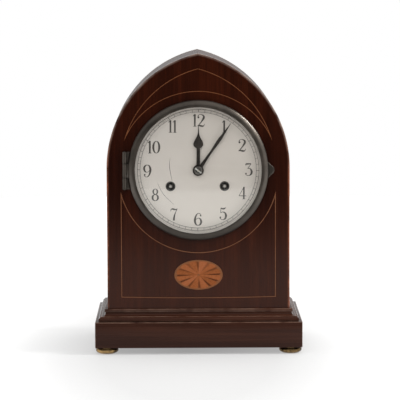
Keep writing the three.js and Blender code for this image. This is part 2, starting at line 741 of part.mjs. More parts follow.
function bentSide() {
  const outer = archEdge(0, FLOOR, SEAT / 2);
  const inner = archEdge(SIDE_THICKNESS, FLOOR, SEAT / 2);
  return outline(outer, inner.reverse());
}

const sideEdges = bentSide();
add(body, "side_right", alongY(shapeOf(sideEdges), PANEL_BACK, BOARD_FRONT), mahogany);
add(body, "side_left", alongY(shapeOf(mirrored(sideEdges)), PANEL_BACK, BOARD_FRONT), mahogany);

const DOOR_BOTTOM = FLOOR + DOOR_SILL;
add(
  body,
  "back_board",
  alongY(shapeOf(lancet(0, FLOOR), lancet(DOOR_INSET, DOOR_BOTTOM)), BOARD_FRONT, CASE_BACK),
  innerWood,
);
add(
  body,
  "back_door",
  alongY(shapeOf(lancet(DOOR_INSET + DOOR_GAP, DOOR_BOTTOM + DOOR_GAP)), BOARD_FRONT, CASE_BACK),
  innerWood,
);

// Butt hinges on the outside of the back, with their axis at the door's edge
const BUTT_X = HALF_WIDTH - DOOR_INSET - DOOR_GAP / 2;
const BUTT_Y = CASE_BACK + SEAT + BUTT_BARREL_RADIUS;

function buttLeaf(z0, z1, direction) {
  const inner = BUTT_X + direction * BUTT_PIN_RADIUS;
  const outer = BUTT_X + direction * BUTT_REACH;
  const y = CASE_BACK + SEAT;
  const plate = block(Math.min(inner, outer), Math.max(inner, outer), y, y + BUTT_LEAF, z0, z1);
  return join(plate, rodZ(BUTT_X, BUTT_Y, BUTT_BARREL_RADIUS, z0, z1, KNUCKLE_SIDES));
}

function buttHinge(name, middle) {
  const low = middle - BUTT_HEIGHT / 2;
  const high = middle + BUTT_HEIGHT / 2;
  const third = BUTT_HEIGHT / 3;
  const room = block(
    BUTT_X - BUTT_REACH,
    BUTT_X + BUTT_BARREL_RADIUS + RUN,
    CASE_BACK,
    BUTT_Y + BUTT_BARREL_RADIUS + RUN,
    low + third - RUN,
    high - third + RUN,
  );
  const pin = rodZ(BUTT_X, BUTT_Y, BUTT_PIN_RADIUS, low, high, PIVOT_SIDES);
  const bore = rodZ(BUTT_X, BUTT_Y, BUTT_PIN_RADIUS + RUN, low, high, KNUCKLE_SIDES);
  add(body, `${name}_fixed_leaf`, join(cut(buttLeaf(low, high, 1), room), pin), brass);
  add(body, `${name}_door_leaf`, cut(buttLeaf(low + third, high - third, -1), bore), brass);
}

buttHinge("lower_hinge", DOOR_BOTTOM + LOWER_BUTT_RISE);
buttHinge("upper_hinge", DOOR_BOTTOM + UPPER_BUTT_RISE);

// A turn button on the back board, upright when it lets the door go
function turnButton() {
  const x = DOOR_INSET / 2 - HALF_WIDTH;
  const z = FLOOR + BUTTON_RISE;
  const half = BUTTON_WIDTH / 2;
  const edge = outline(
    arc(x, z + BUTTON_REACH - half, half, 0, Math.PI, BUTTON_STEPS),
    arc(x, z - BUTTON_TAIL + half, half, Math.PI, 2 * Math.PI, BUTTON_STEPS),
  );
  const y = CASE_BACK + SEAT;
  const head = rodY(
    point(x, z),
    BUTTON_SCREW_RADIUS,
    y + BUTTON_THICKNESS / 2,
    y + BUTTON_THICKNESS + BUTTON_SCREW_PROUD,
    BUTTON_SCREW_SIDES,
  );
  return join(alongY(shapeOf(edge), y, y + BUTTON_THICKNESS), head);
}

add(body, "door_turn_button", turnButton(), brass);

// The seat board carries the movement's plates on their lower edges.
const SEAT_TOP = DIAL_Z + PLATE_BOTTOM - SEAT;
const SEAT_HALF = HALF_WIDTH - SIDE_THICKNESS - SEAT;
add(
  body,
  "seat_board",
  block(
    -SEAT_HALF,
    SEAT_HALF,
    PANEL_BACK + SEAT,
    PLATE_FRONT + PLATE_BACK,
    SEAT_TOP - SEAT_BOARD_THICKNESS,
    SEAT_TOP,
  ),
  innerWood,
);

// Bezel: profiles of radius against depth, where forward is negative

const LIP_BACK = BEZEL_HEIGHT - LIP_THICKNESS;
const KNUCKLE_Y = -(SEAT + HINGE_PLATE + RUN + KNUCKLE_RADIUS);

function hingeBore(half) {
  return rodZ(
    -BEZEL_HINGE_X,
    KNUCKLE_Y,
    KNUCKLE_PIN_RADIUS + RUN,
    -half - OVERRUN,
    half + OVERRUN,
    KNUCKLE_SIDES,
  );
}

function bezelRing() {
  const ring = turnedY(
    [
      [BEZEL_WALL_RADIUS, -SEAT],
      [BEZEL_RADIUS, -SEAT],
      [BEZEL_RADIUS, -BEZEL_BAND],
      [BEZEL_RADIUS - BEZEL_STEP, -BEZEL_BAND - BEZEL_STEP_RISE],
      [BEZEL_RADIUS - BEZEL_SWELL, -BEZEL_SWELL_SHARE * BEZEL_HEIGHT],
      [BEZEL_RADIUS - BEZEL_CREST, -BEZEL_HEIGHT],
      [BEZEL_OPENING + LIP_BEVEL, -BEZEL_HEIGHT],
      [BEZEL_OPENING, -LIP_BACK],
      [BEZEL_WALL_RADIUS, -LIP_BACK],
      [BEZEL_WALL_RADIUS, -SEAT],
    ],
    DIAL_STEPS,
  );
  const half = BEZEL_KNUCKLE_HEIGHT / 2;
  const knuckle = rodZ(-BEZEL_HINGE_X, KNUCKLE_Y, KNUCKLE_RADIUS, -half, half, KNUCKLE_SIDES);
  const arm = block(
    -BEZEL_HINGE_X,
    -BEZEL_RADIUS + HINGE_ARM_BITE,
    KNUCKLE_Y - HINGE_ARM / 2,
    KNUCKLE_Y + HINGE_ARM / 2,
    -half,
    half,
  );
  return cut(join(ring, arm, knuckle), hingeBore(half));
}

add(front, "bezel_ring", bezelRing(), bezelBrass);

function hingeBlock() {
  const x = -BEZEL_HINGE_X;
  const half = BEZEL_HINGE_HEIGHT / 2;
  const gap = BEZEL_KNUCKLE_HEIGHT / 2 + RUN;
  const plate = block(x - KNUCKLE_RADIUS, x + KNUCKLE_RADIUS, -SEAT - HINGE_PLATE, -SEAT, -half, half);
  const ends = [[-half, -gap], [gap, half]].map(([z0, z1]) =>
    join(
      rodZ(x, KNUCKLE_Y, KNUCKLE_RADIUS, z0, z1, KNUCKLE_SIDES),
      block(x - KNUCKLE_RADIUS, x + KNUCKLE_RADIUS, KNUCKLE_Y, -SEAT, z0, z1),
    ),
  );
  return cut(join(plate, ...ends), hingeBore(half));
}

add(front, "bezel_hinge_block", hingeBlock(), bezelBrass);
const PIN_HALF = BEZEL_HINGE_HEIGHT / 2;
add(
  front,
  "bezel_hinge_pin",
  rodZ(-BEZEL_HINGE_X, KNUCKLE_Y, KNUCKLE_PIN_RADIUS, -PIN_HALF, PIN_HALF, PIVOT_SIDES),
  bezelBrass,
);

function thumbTab() {
  const inner = BEZEL_RADIUS + SEAT;
  const reach = Math.asin(TAB_HALF_HEIGHT / inner);
  const waist = point(inner + TAB_REACH * TAB_WAIST_SHARE, TAB_HALF_HEIGHT * TAB_WAIST_HALF_SHARE);
  const nose = inner + TAB_REACH - TAB_NOSE_RADIUS;
  const edge = outline(
    arc(0, 0, inner, -reach, reach, TAB_STEPS).reverse(),
    [point(waist.x, -waist.y)],
    arc(nose, 0, TAB_NOSE_RADIUS, -Math.PI / 3, Math.PI / 3, TAB_STEPS),
    [waist],
  );
  return alongY(shapeOf(edge), -SEAT - TAB_THICKNESS, -SEAT);
}

add(front, "bezel_tab", thumbTab(), bezelBrass);

function glassDome() {
  const rim = BEZEL_WALL_RADIUS - SEAT;
  const rimFront = SEAT - LIP_BACK;
  const rise = (share) => GLASS_RISE * (1 - Math.min(1, share / GLASS_FLAT) ** 2);
  const outer = [1, GLASS_FLAT, GLASS_MIDDLE, 0].map((share) => [
    share * rim,
    rimFront - rise(share),
  ]);
  const inner = outer.map(([r, y]) => [r, y + GLASS_THICKNESS]).reverse();
  return turnedY([...inner, ...outer], GLASS_SIDES);
}

function sightRing() {
  const rim = BEZEL_WALL_RADIUS - SEAT;
  const top = -LIP_BACK + 2 * SEAT + GLASS_THICKNESS;
  return turnedY(
    [
      [SIGHT_RING_RADIUS, -2 * SEAT],
      [rim, top + SIGHT_RING_SHEET],
      [rim, top],
      [SIGHT_RING_RADIUS, -2 * SEAT - SIGHT_RING_SHEET],
      [SIGHT_RING_RADIUS, -2 * SEAT],
    ],
    DIAL_STEPS,
  );
}

add(front, "bezel_glass", glassDome(), glass);
add(front, "sight_ring", sightRing(), silver);

// Movement: places of the arbors in X and Z, from the dial's centre

const centre = point(0, 0);
const goingWind = point(GOING_WIND_X, WIND_Z);
const strikeWind = point(STRIKE_WIND_X, WIND_Z);

function spread(teeth, leaves, module) {
  return (module * (teeth + leaves)) / 2;
}

const greatSpread = spread(GREAT_TEETH, GREAT_LEAVES, GREAT_MODULE);
const secondSpread = spread(SECOND_TEETH, SECOND_LEAVES, SECOND_MODULE);
const second = meeting(centre, secondSpread, goingWind, greatSpread, 1);
const escape = point(0, ESCAPE_HEIGHT);
const third = meeting(
  centre,
  spread(CENTRE_TEETH, FINE_LEAVES, CENTRE_MODULE),
  escape,
  spread(THIRD_TEETH, FINE_LEAVES, THIRD_MODULE),
  1,
);
const anchorAt = point(0, ESCAPE_HEIGHT + ANCHOR_RISE);
const minuteAt = polar(
  spread(CANNON_LEAVES, MINUTE_TEETH, MINUTE_MODULE),
  radians(MINUTE_WHEEL_ANGLE),
);
const strikeSecond = polar(greatSpread, radians(STRIKE_SECOND_ANGLE), strikeWind);
const pinWheel = polar(
  spread(SECOND_TEETH, SECOND_LEAVES, STRIKE_SECOND_MODULE),
  radians(PIN_WHEEL_ANGLE),
  strikeSecond,
);
const stopWheel = polar(
  spread(PIN_TEETH, FINE_LEAVES, PIN_MODULE),
  radians(STOP_WHEEL_ANGLE),
  pinWheel,
);
const fly = polar(spread(STOP_TEETH, FINE_LEAVES, STOP_MODULE), radians(FLY_ANGLE), stopWheel);
const hammerAt = point(HAMMER_X, HAMMER_Z);

// Depths of the wheels behind the front plate's face
const GREAT_DEPTH = PLATE_THICKNESS + GREAT_GAP;
const DRUM_DEPTH = GREAT_DEPTH + GREAT_THICKNESS;
const CENTRE_DEPTH = DRUM_DEPTH + DRUM_LENGTH + CENTRE_GAP;
const SECOND_DEPTH = CENTRE_DEPTH + SECOND_GAP;
const STRIKE_SECOND_DEPTH = SECOND_DEPTH - STRIKE_SECOND_SHIFT;
const THIRD_DEPTH = PLATE_THICKNESS + THIRD_GAP;
const ESCAPE_DEPTH = BACK_PLATE - ESCAPE_GAP;
const PIN_DEPTH = PLATE_THICKNESS + PIN_GAP;
const STOP_DEPTH = BACK_PLATE - STOP_GAP;
const FLY_DEPTH = CENTRE_DEPTH - FLY_SHIFT;

function bearing(a, b) {
  return Math.atan2(b.y - a.y, b.x - a.x);
}

// Pointed teeth, one point at each tip and one at each root, with a tooth at the phase angle.
function toothed(at, teeth, module, addendum, dedendum, phase) {
  const pitch = (teeth * module) / 2;
  const points = [];
  for (let i = 0; i < teeth; i++) {
    const angle = phase + (2 * Math.PI * i) / teeth;
    points.push(polar(pitch + addendum * module, angle, at));
    points.push(polar(pitch - dedendum * module, angle + Math.PI / teeth, at));
  }
  return points;
}

// A wheel's outline with a tooth that points at its pinion, and a pinion's with a gap that faces its wheel.
function wheelTeeth(at, teeth, module, pinionAt) {
  return toothed(at, teeth, module, WHEEL_TIP, WHEEL_ROOT, bearing(at, pinionAt));
}

function pinionLeaves(at, leaves, module, wheelAt) {
  return toothed(at, leaves, module, LEAF_TIP, LEAF_ROOT, bearing(at, wheelAt) + Math.PI / leaves);
}

// Windows that leave spokes between a wheel's hub and its rim.
function crossings(at, teeth, module) {
  const outer = (teeth * module) / 2 - WHEEL_RIM * module;
  const near = Math.asin(WHEEL_SPOKE / 2 / WHEEL_HUB_RADIUS);
  const far = Math.asin(WHEEL_SPOKE / 2 / outer);
  const turn = (2 * Math.PI) / WHEEL_SPOKES;
  return Array.from({ length: WHEEL_SPOKES }, (_, i) => {
    const start = i * turn;
    const rim = arc(at.x, at.y, outer, start + far, start + turn - far, 2);
    const hub = arc(at.x, at.y, WHEEL_HUB_RADIUS, start + turn - near, start + near, 1);
    return outline(rim, hub);
  });
}

function arbor(at, from = 0, to = PLATE_BACK) {
  return rodY(at, ARBOR_RADIUS, from, to, ARBOR_SIDES);
}

// Where a pinion starts, so that its wheel runs at the middle of its leaves.
function meshDepth(wheelDepth, thickness = WHEEL_THICKNESS) {
  return wheelDepth - (PINION_LENGTH - thickness) / 2;
}

// A train wheel: arbor, pinion and wheel in one piece. The larger wheels are crossed out.
function trainWheel({ at, wheel, wheelDepth, windows = [], pinion, pinionDepth, to }) {
  return join(
    arbor(at, 0, to),
    alongY(shapeOf(wheel, ...windows), wheelDepth, wheelDepth + WHEEL_THICKNESS),
    alongY(shapeOf(pinion), pinionDepth, pinionDepth + PINION_LENGTH),
  );
}

// Plates

function plateShape(holes) {
  const w = PLATE_HALF_WIDTH;
  const c = PLATE_CORNER;
  const edge = [
    point(c - w, PLATE_BOTTOM),
    point(w - c, PLATE_BOTTOM),
    point(w, PLATE_BOTTOM + c),
    point(w, PLATE_TOP - c),
    point(w - c, PLATE_TOP),
    point(c - w, PLATE_TOP),
    point(-w, PLATE_TOP - c),
    point(-w, PLATE_BOTTOM + c),
  ];
  return shapeOf(edge, ...holes);
}

function pivotHole(at, radius = ARBOR_RADIUS) {
  return circle(at.x, at.y, around(radius + RUN, PIVOT_SIDES), PIVOT_SIDES);
}

const trainPivots = [second, third, escape, strikeSecond, pinWheel, stopWheel, fly, hammerAt];
const windPivots = [goingWind, strikeWind].map((at) => pivotHole(at, WIND_ARBOR_RADIUS));
const clickStuds = [goingWind, strikeWind].map((at) => clickPivot(at));

function frontPlate() {
  const holes = [...trainPivots, centre, anchorAt].map((at) => pivotHole(at));
  const studFront = -SEAT - RATCHET_THICKNESS - CLICK_STUD_PROUD;
  const studs = clickStuds.map((at) =>
    rodY(at, CLICK_STUD_RADIUS, studFront, PLATE_THICKNESS / 2, STUD_SIDES),
  );
  const minuteStud = MINUTE_FRONT - MINUTE_STUD_PROUD;
  return join(
    alongY(plateShape([...holes, ...windPivots]), 0, PLATE_THICKNESS),
    rodY(minuteAt, MINUTE_STUD_RADIUS, minuteStud, PLATE_THICKNESS / 2, STUD_SIDES),
    ...studs,
  );
}

function backPlate() {
  const holes = [...trainPivots, centre].map((at) => pivotHole(at));
  const anchorHole = circle(anchorAt.x, anchorAt.y, ANCHOR_HOLE_RADIUS, PIVOT_SIDES);
  const plate = alongY(plateShape([...holes, anchorHole, ...windPivots]), BACK_PLATE, PLATE_BACK);
  const x = PLATE_HALF_WIDTH - PILLAR_INSET;
  const corners = [point(-x, PLATE_BOTTOM + PILLAR_INSET), point(x, PLATE_BOTTOM + PILLAR_INSET)];
  corners.push(point(-x, PLATE_TOP - PILLAR_INSET), point(x, PLATE_TOP - PILLAR_INSET));
  const pillars = corners.map((at) =>
    rodY(at, PILLAR_RADIUS, PLATE_THICKNESS + SEAT, BACK_PLATE + PLATE_THICKNESS / 2, STUD_SIDES),
  );
  return join(plate, ...pillars);
}

// Barrels, mainsprings, winding arbors and clicks

function barrel(at, pinionAt) {
  const lid = DRUM_DEPTH + DRUM_LENGTH;
  const bore = around(WIND_ARBOR_RADIUS + RUN, DRUM_SIDES);
  const drum = turnedY(
    [
      [bore, GREAT_DEPTH],
      [bore, DRUM_DEPTH],
      [DRUM_RADIUS - DRUM_WALL, DRUM_DEPTH],
      [DRUM_RADIUS - DRUM_WALL, lid - DRUM_WALL],
      [bore, lid - DRUM_WALL],
      [bore, lid],
      [DRUM_RADIUS, lid],
      [DRUM_RADIUS, GREAT_DEPTH],
      [bore, GREAT_DEPTH],
    ],
    DRUM_SIDES,
  ).translate(at.x, 0, at.y);
  const rim = shapeOf(
    wheelTeeth(at, GREAT_TEETH, GREAT_MODULE, pinionAt),
    circle(at.x, at.y, DRUM_RADIUS - DRUM_WALL / 2, DRUM_SIDES),
  );
  return join(drum, alongY(rim, GREAT_DEPTH, DRUM_DEPTH));
}

function mainspring(at) {
  const inner = WIND_ARBOR_RADIUS + RUN + SPRING_EYE;
  const outer = DRUM_RADIUS - DRUM_WALL - SPRING_SHEET - RUN;
  const steps = SPRING_TURNS * SPRING_STEPS;
  const strip = (offset) =>
    Array.from({ length: steps + 1 }, (_, i) => {
      const share = i / steps;
      return polar(inner + (outer - inner) * share + offset, share * SPRING_TURNS * 2 * Math.PI, at);
    });
  const edge = outline(strip(SPRING_SHEET), strip(0).reverse());
  return alongY(
    shapeOf(edge),
    DRUM_DEPTH + RUN,
    DRUM_DEPTH + DRUM_LENGTH - DRUM_WALL - RUN,
  );
}

function ratchetShape(at) {
  const rake = (RATCHET_RAKE * 2 * Math.PI) / RATCHET_TEETH;
  const points = [];
  for (let i = 0; i < RATCHET_TEETH; i++) {
    const angle = (2 * Math.PI * i) / RATCHET_TEETH;
    points.push(polar(RATCHET_RADIUS, angle, at));
    points.push(polar(RATCHET_RADIUS - RATCHET_TOOTH, angle + rake, at));
  }
  return shapeOf(points);
}

function windingArbor(at) {
  const half = WIND_SQUARE / 2;
  const ratchetBack = -SEAT;
  const ratchetFront = ratchetBack - RATCHET_THICKNESS;
  return join(
    rodY(at, WIND_ARBOR_RADIUS, ratchetFront, PLATE_BACK, STUD_SIDES),
    alongY(ratchetShape(at), ratchetFront, ratchetBack),
    block(
      at.x - half,
      at.x + half,
      DIAL_FACE - WIND_PROUD,
      ratchetFront + BITE,
      at.y - half,
      at.y + half,
    ),
  );
}

function clickPivot(at) {
  return polar(CLICK_SPREAD, radians(CLICK_ANGLE), at);
}

function click(at) {
  const pivot = clickPivot(at);
  const reach = RATCHET_RADIUS + CLICK_REST_GAP;
  const tip = polar(reach, radians(CLICK_TIP_ANGLE), at);
  const back = polar(reach + CLICK_NOSE, radians(CLICK_TIP_ANGLE - CLICK_NOSE_TURN), at);
  const facing = bearing(pivot, tip);
  const round = arc(
    pivot.x,
    pivot.y,
    CLICK_EYE_RADIUS,
    facing + radians(CLICK_EYE_START),
    facing + radians(CLICK_EYE_END),
    STUD_SIDES,
  );
  const hole = pivotHole(pivot, CLICK_STUD_RADIUS);
  return alongY(shapeOf(outline([tip], round, [back]), hole), -SEAT - RATCHET_THICKNESS, -SEAT);
}

for (const [train, at, pinionAt] of [
  ["going", goingWind, second],
  ["strike", strikeWind, strikeSecond],
]) {
  add(movement, `${train}_barrel`, barrel(at, pinionAt), brass);
  add(movement, `${train}_mainspring`, mainspring(at), steel);
  add(movement, `${train}_winding_arbor`, windingArbor(at), steel);
  add(movement, `${train}_click`, click(at), steel);
}

// Going train

add(
  movement,
  "intermediate_wheel",
  trainWheel({
    at: second,
    wheel: wheelTeeth(second, SECOND_TEETH, SECOND_MODULE, centre),
    wheelDepth: SECOND_DEPTH,
    windows: crossings(second, SECOND_TEETH, SECOND_MODULE),
    pinion: pinionLeaves(second, GREAT_LEAVES, GREAT_MODULE, goingWind),
    pinionDepth: meshDepth(GREAT_DEPTH, GREAT_THICKNESS),
  }),
  brass,
);

const HOUR_HAND_BACK = DIAL_FACE - HOUR_HAND_LIFT;
const HOUR_HAND_FRONT = HOUR_HAND_BACK - HAND_THICKNESS;
const MINUTE_HAND_BACK = HOUR_HAND_FRONT - HAND_GAP;
const MINUTE_HAND_FRONT = MINUTE_HAND_BACK - HAND_THICKNESS;
const COLLET_BACK = MINUTE_HAND_FRONT - SEAT;
const CENTRE_ARBOR_FRONT = COLLET_BACK - COLLET_HEIGHT - ARBOR_PROUD;

function centreWheel() {
  const wheel = trainWheel({
    at: centre,
    wheel: wheelTeeth(centre, CENTRE_TEETH, CENTRE_MODULE, third),
    wheelDepth: CENTRE_DEPTH,
    windows: crossings(centre, CENTRE_TEETH, CENTRE_MODULE),
    pinion: pinionLeaves(centre, SECOND_LEAVES, SECOND_MODULE, second),
    pinionDepth: meshDepth(SECOND_DEPTH),
  });
  return join(wheel, arbor(centre, CENTRE_ARBOR_FRONT, BITE));
}

add(movement, "centre_wheel", centreWheel(), brass);
add(
  movement,
  "third_wheel",
  trainWheel({
    at: third,
    wheel: wheelTeeth(third, THIRD_TEETH, THIRD_MODULE, escape),
    wheelDepth: THIRD_DEPTH,
    windows: crossings(third, THIRD_TEETH, THIRD_MODULE),
    pinion: pinionLeaves(third, FINE_LEAVES, CENTRE_MODULE, centre),
    pinionDepth: meshDepth(CENTRE_DEPTH),
  }),
  brass,
);

// Raked, pointed teeth for the anchor.
function escapeTeeth() {
  const rake = (ESCAPE_RAKE * 2 * Math.PI) / ESCAPE_TEETH;
  const points = [];
  for (let i = 0; i < ESCAPE_TEETH; i++) {
    const angle = (2 * Math.PI * i) / ESCAPE_TEETH;
    points.push(polar(ESCAPE_RADIUS, angle, escape));
    points.push(polar(ESCAPE_RADIUS - ESCAPE_TOOTH, angle + rake, escape));
  }
  return points;
}

add(
  movement,
  "escape_wheel",
  trainWheel({
    at: escape,
    wheel: escapeTeeth(),
    wheelDepth: ESCAPE_DEPTH,
    pinion: pinionLeaves(escape, FINE_LEAVES, THIRD_MODULE, third),
    pinionDepth: meshDepth(THIRD_DEPTH),
  }),
  brass,
);

// Anchor, crutch, cock and pendulum

const CRUTCH_DEPTH = PLATE_BACK + CRUTCH_GAP;
const CRUTCH_BACK = CRUTCH_DEPTH + CRUTCH_THICKNESS;
const COCK_DEPTH = PLATE_BACK + COCK_GAP;
const COCK_BACK = COCK_DEPTH + COCK_THICKNESS;
const PIVOT_END = COCK_BACK - SEAT; // bottom of the cock's blind pivot hole

function anchor() {
  const reach = ESCAPE_RADIUS + PALLET_CLEARANCE;
  const place = (angle, past) => polar(reach + past, radians(angle), escape);
  const right = [
    point(anchorAt.x, anchorAt.y - ANCHOR_BELLY),
    place(BELLY_ANGLE, BELLY_REACH),
    place(PALLET_ANGLE, 0),
    place(HEEL_ANGLE, HEEL_REACH),
    place(SHOULDER_ANGLE, SHOULDER_REACH),
    point(anchorAt.x + ANCHOR_CROWN_HALF, anchorAt.y + ANCHOR_CROWN_RISE),
  ];
  const blade = alongY(
    shapeOf(outline(right, mirrored(right))),
    ESCAPE_DEPTH,
    ESCAPE_DEPTH + WHEEL_THICKNESS,
  );
  const foot = anchorAt.y - CRUTCH_LENGTH;
  const slot = ROD_RADIUS + RUN;
  const prong = slot + CRUTCH_HALF_WIDTH;
  const low = foot - FORK_HALF_HEIGHT;
  const high = foot + FORK_HALF_HEIGHT;
  const forkBack = ROD_DEPTH + FORK_REACH;
  const arm = block(-CRUTCH_HALF_WIDTH, CRUTCH_HALF_WIDTH, CRUTCH_DEPTH, CRUTCH_BACK, foot, anchorAt.y);
  const fork = cut(
    block(-prong, prong, CRUTCH_DEPTH, forkBack, low, high),
    block(-slot, slot, ROD_DEPTH - 2 * slot, forkBack + OVERRUN, low - OVERRUN, high + OVERRUN),
  );
  const hub = rodY(anchorAt, CRUTCH_HUB_RADIUS, CRUTCH_DEPTH, CRUTCH_BACK, PIVOT_SIDES);
  return join(arbor(anchorAt, 0, PIVOT_END - SEAT), blade, arm, fork, hub);
}

add(movement, "anchor", anchor(), steel);

function backCock() {
  const x = COCK_HALF_WIDTH;
  const low = anchorAt.y - COCK_HALF_HEIGHT;
  const high = anchorAt.y + COCK_HALF_HEIGHT;
  const bridge = cut(
    block(-x, x, COCK_DEPTH, COCK_BACK, low, high),
    alongY(shapeOf(pivotHole(anchorAt)), COCK_DEPTH - OVERRUN, PIVOT_END),
  );
  const legs = [-x, x - COCK_LEG].map((x0) =>
    block(x0, x0 + COCK_LEG, PLATE_BACK + SEAT, COCK_DEPTH + BITE, low, high),
  );
  const stud = rodY(anchorAt, STUD_RADIUS, COCK_BACK - BITE, ROD_DEPTH + STUD_REACH, PIVOT_SIDES);
  return join(bridge, ...legs, stud);
}

add(movement, "back_cock", backCock(), brass);

const BOB_Z = anchorAt.y - PENDULUM_LENGTH;
const NUT_TOP = BOB_Z - BOB_RADIUS - SEAT;

// The rod hangs by a thin suspension strip from an eye round the cock's stud.
function pendulumRod() {
  const top = anchorAt.y;
  const bar = (halfWidth, halfDepth, z0, z1) =>
    block(-halfWidth, halfWidth, ROD_DEPTH - halfDepth, ROD_DEPTH + halfDepth, z0, z1);
  const eye = cut(
    bar(EYE_HALF_WIDTH, EYE_HALF_DEPTH, top - EYE_DROP, top + EYE_RISE),
    alongY(
      shapeOf(pivotHole(anchorAt, STUD_RADIUS)),
      ROD_DEPTH - EYE_HALF_DEPTH - OVERRUN,
      ROD_DEPTH + EYE_HALF_DEPTH + OVERRUN,
    ),
  );
  const rodEnd = NUT_TOP - NUT_HEIGHT - ROD_TAIL;
  return join(
    eye,
    bar(STRIP_HALF_WIDTH, STRIP_HALF_SHEET, top - STRIP_DROP - BITE, top - EYE_DROP + BITE),
    bar(CHOP_HALF_WIDTH, CHOP_HALF_DEPTH, top - CHOP_DROP, top - STRIP_DROP),
    rodZ(0, ROD_DEPTH, ROD_RADIUS, rodEnd, top - CHOP_DROP + BITE, PIVOT_SIDES),
  );
}

function rodHole(z0, z1) {
  const radius = around(ROD_RADIUS + RUN, PIVOT_SIDES);
  return rodZ(0, ROD_DEPTH, radius, z0 - OVERRUN, z1 + OVERRUN, PIVOT_SIDES);
}

function pendulumBob() {
  const half = BOB_THICKNESS / 2;
  const back = [
    [BOB_EDGE_SHARE * BOB_RADIUS, BOB_EDGE_DEPTH_SHARE * half],
    [BOB_FACE_SHARE * BOB_RADIUS, BOB_FACE_DEPTH_SHARE * half],
    [0, half],
  ];
  const face = back.map(([radius, depth]) => [radius, -depth]).reverse();
  const profile = [...face, [BOB_RADIUS, 0], ...back];
  const lens = turnedY(profile, BOB_SIDES).translate(0, ROD_DEPTH, BOB_Z);
  return cut(lens, rodHole(BOB_Z - BOB_RADIUS, BOB_Z + BOB_RADIUS));
}

function ratingNut() {
  const nut = rodZ(0, ROD_DEPTH, NUT_RADIUS, NUT_TOP - NUT_HEIGHT, NUT_TOP, NUT_SIDES);
  return cut(nut, rodHole(NUT_TOP - NUT_HEIGHT, NUT_TOP));
}

add(movement, "pendulum_rod", pendulumRod(), steel);
add(movement, "pendulum_bob", pendulumBob(), brass);
add(movement, "rating_nut", ratingNut(), brass);

// Motion work, between the front plate and the dial

const HOUR_MODULE =
  (2 * spread(CANNON_LEAVES, MINUTE_TEETH, MINUTE_MODULE)) / (MINUTE_LEAVES + HOUR_TEETH);

add(movement, "front_plate", frontPlate(), brass);
add(movement, "back_plate", backPlate(), brass);

function cannonPinion() {
  const leaves = shapeOf(pinionLeaves(centre, CANNON_LEAVES, MINUTE_MODULE, minuteAt));
  const leafFront = MINUTE_BACK - CANNON_SPAN;
  const shoulder = MINUTE_HAND_BACK + SEAT;
  const radius = around(ARBOR_RADIUS + RUN, PIVOT_SIDES);
  return cut(
    join(
      alongY(leaves, leafFront, MINUTE_BACK),
      rodY(centre, CANNON_PIPE_RADIUS, shoulder, leafFront + BITE, PIPE_SIDES),
      rodY(centre, CANNON_PIPE_RADIUS - CANNON_NOSE, MINUTE_HAND_FRONT, shoulder + BITE, PIPE_SIDES),
    ),
    rodY(centre, radius, MINUTE_HAND_FRONT - OVERRUN, MINUTE_BACK + OVERRUN, PIVOT_SIDES),
  );
}

function minuteWheel() {
  const wheel = wheelTeeth(minuteAt, MINUTE_TEETH, MINUTE_MODULE, centre);
  const leaves = pinionLeaves(minuteAt, MINUTE_LEAVES, HOUR_MODULE, centre);
  const wheelFront = MINUTE_BACK - WHEEL_THICKNESS;
  const radius = around(MINUTE_STUD_RADIUS + RUN, STUD_SIDES);
  return cut(
    join(
      alongY(shapeOf(wheel), wheelFront, MINUTE_BACK),
      alongY(shapeOf(leaves), MINUTE_FRONT, wheelFront + BITE),
    ),
    rodY(minuteAt, radius, MINUTE_FRONT - OVERRUN, MINUTE_BACK + OVERRUN, STUD_SIDES),
  );
}

function hourWheel() {
  const wheel = wheelTeeth(centre, HOUR_TEETH, HOUR_MODULE, minuteAt);
  const wheelFront = HOUR_WHEEL_BACK - WHEEL_THICKNESS;
  const radius = around(CANNON_PIPE_RADIUS + RUN, PIPE_SIDES);
  return cut(
    join(
      alongY(shapeOf(wheel), wheelFront, HOUR_WHEEL_BACK),
      rodY(centre, HOUR_PIPE_RADIUS, HOUR_HAND_FRONT, wheelFront + BITE, HOUR_PIPE_SIDES),
    ),
    rodY(centre, radius, HOUR_HAND_FRONT - OVERRUN, HOUR_WHEEL_BACK + OVERRUN, PIPE_SIDES),
  );
}

add(movement, "cannon_pinion", cannonPinion(), steel);
add(movement, "minute_wheel", minuteWheel(), brass);
add(movement, "hour_wheel", hourWheel(), brass);

// Dial and hands

function dialPlate() {
  const wind = [goingWind, strikeWind].map((at) => circle(at.x, at.y, WIND_HOLE_RADIUS, HAND_HOLE_SIDES));
  const middle = circle(0, 0, DIAL_CENTRE_HOLE, HAND_HOLE_SIDES);
  const plate = alongY(
    shapeOf(circle(0, 0, DIAL_RADIUS, DIAL_STEPS), middle, ...wind),
    DIAL_FACE,
    DIAL_BACK,
  );
  const feet = DIAL_FOOT_ANGLES.map((angle) => polar(DIAL_FOOT_RING, radians(angle))).map((at) =>
    rodY(at, DIAL_FOOT_RADIUS, DIAL_BACK - BITE, -SEAT, PIVOT_SIDES),
  );
  return join(plate, ...feet);
}

add(movement, "dial_plate", dialPlate(), silver);

// A hand's edge as half-widths along its length, closed by its round hub.
function handShape(hubRadius, hole, edge) {
  const start = Math.asin(edge[0][0] / hubRadius);
  const right = edge.map(([half, along]) => point(half, along));
  const hub = arc(0, 0, hubRadius, Math.PI / 2 + start, 2.5 * Math.PI - start, HUB_STEPS);
  return shapeOf(outline(hub, right, mirrored(right)), circle(0, 0, hole, HAND_HOLE_SIDES));
}

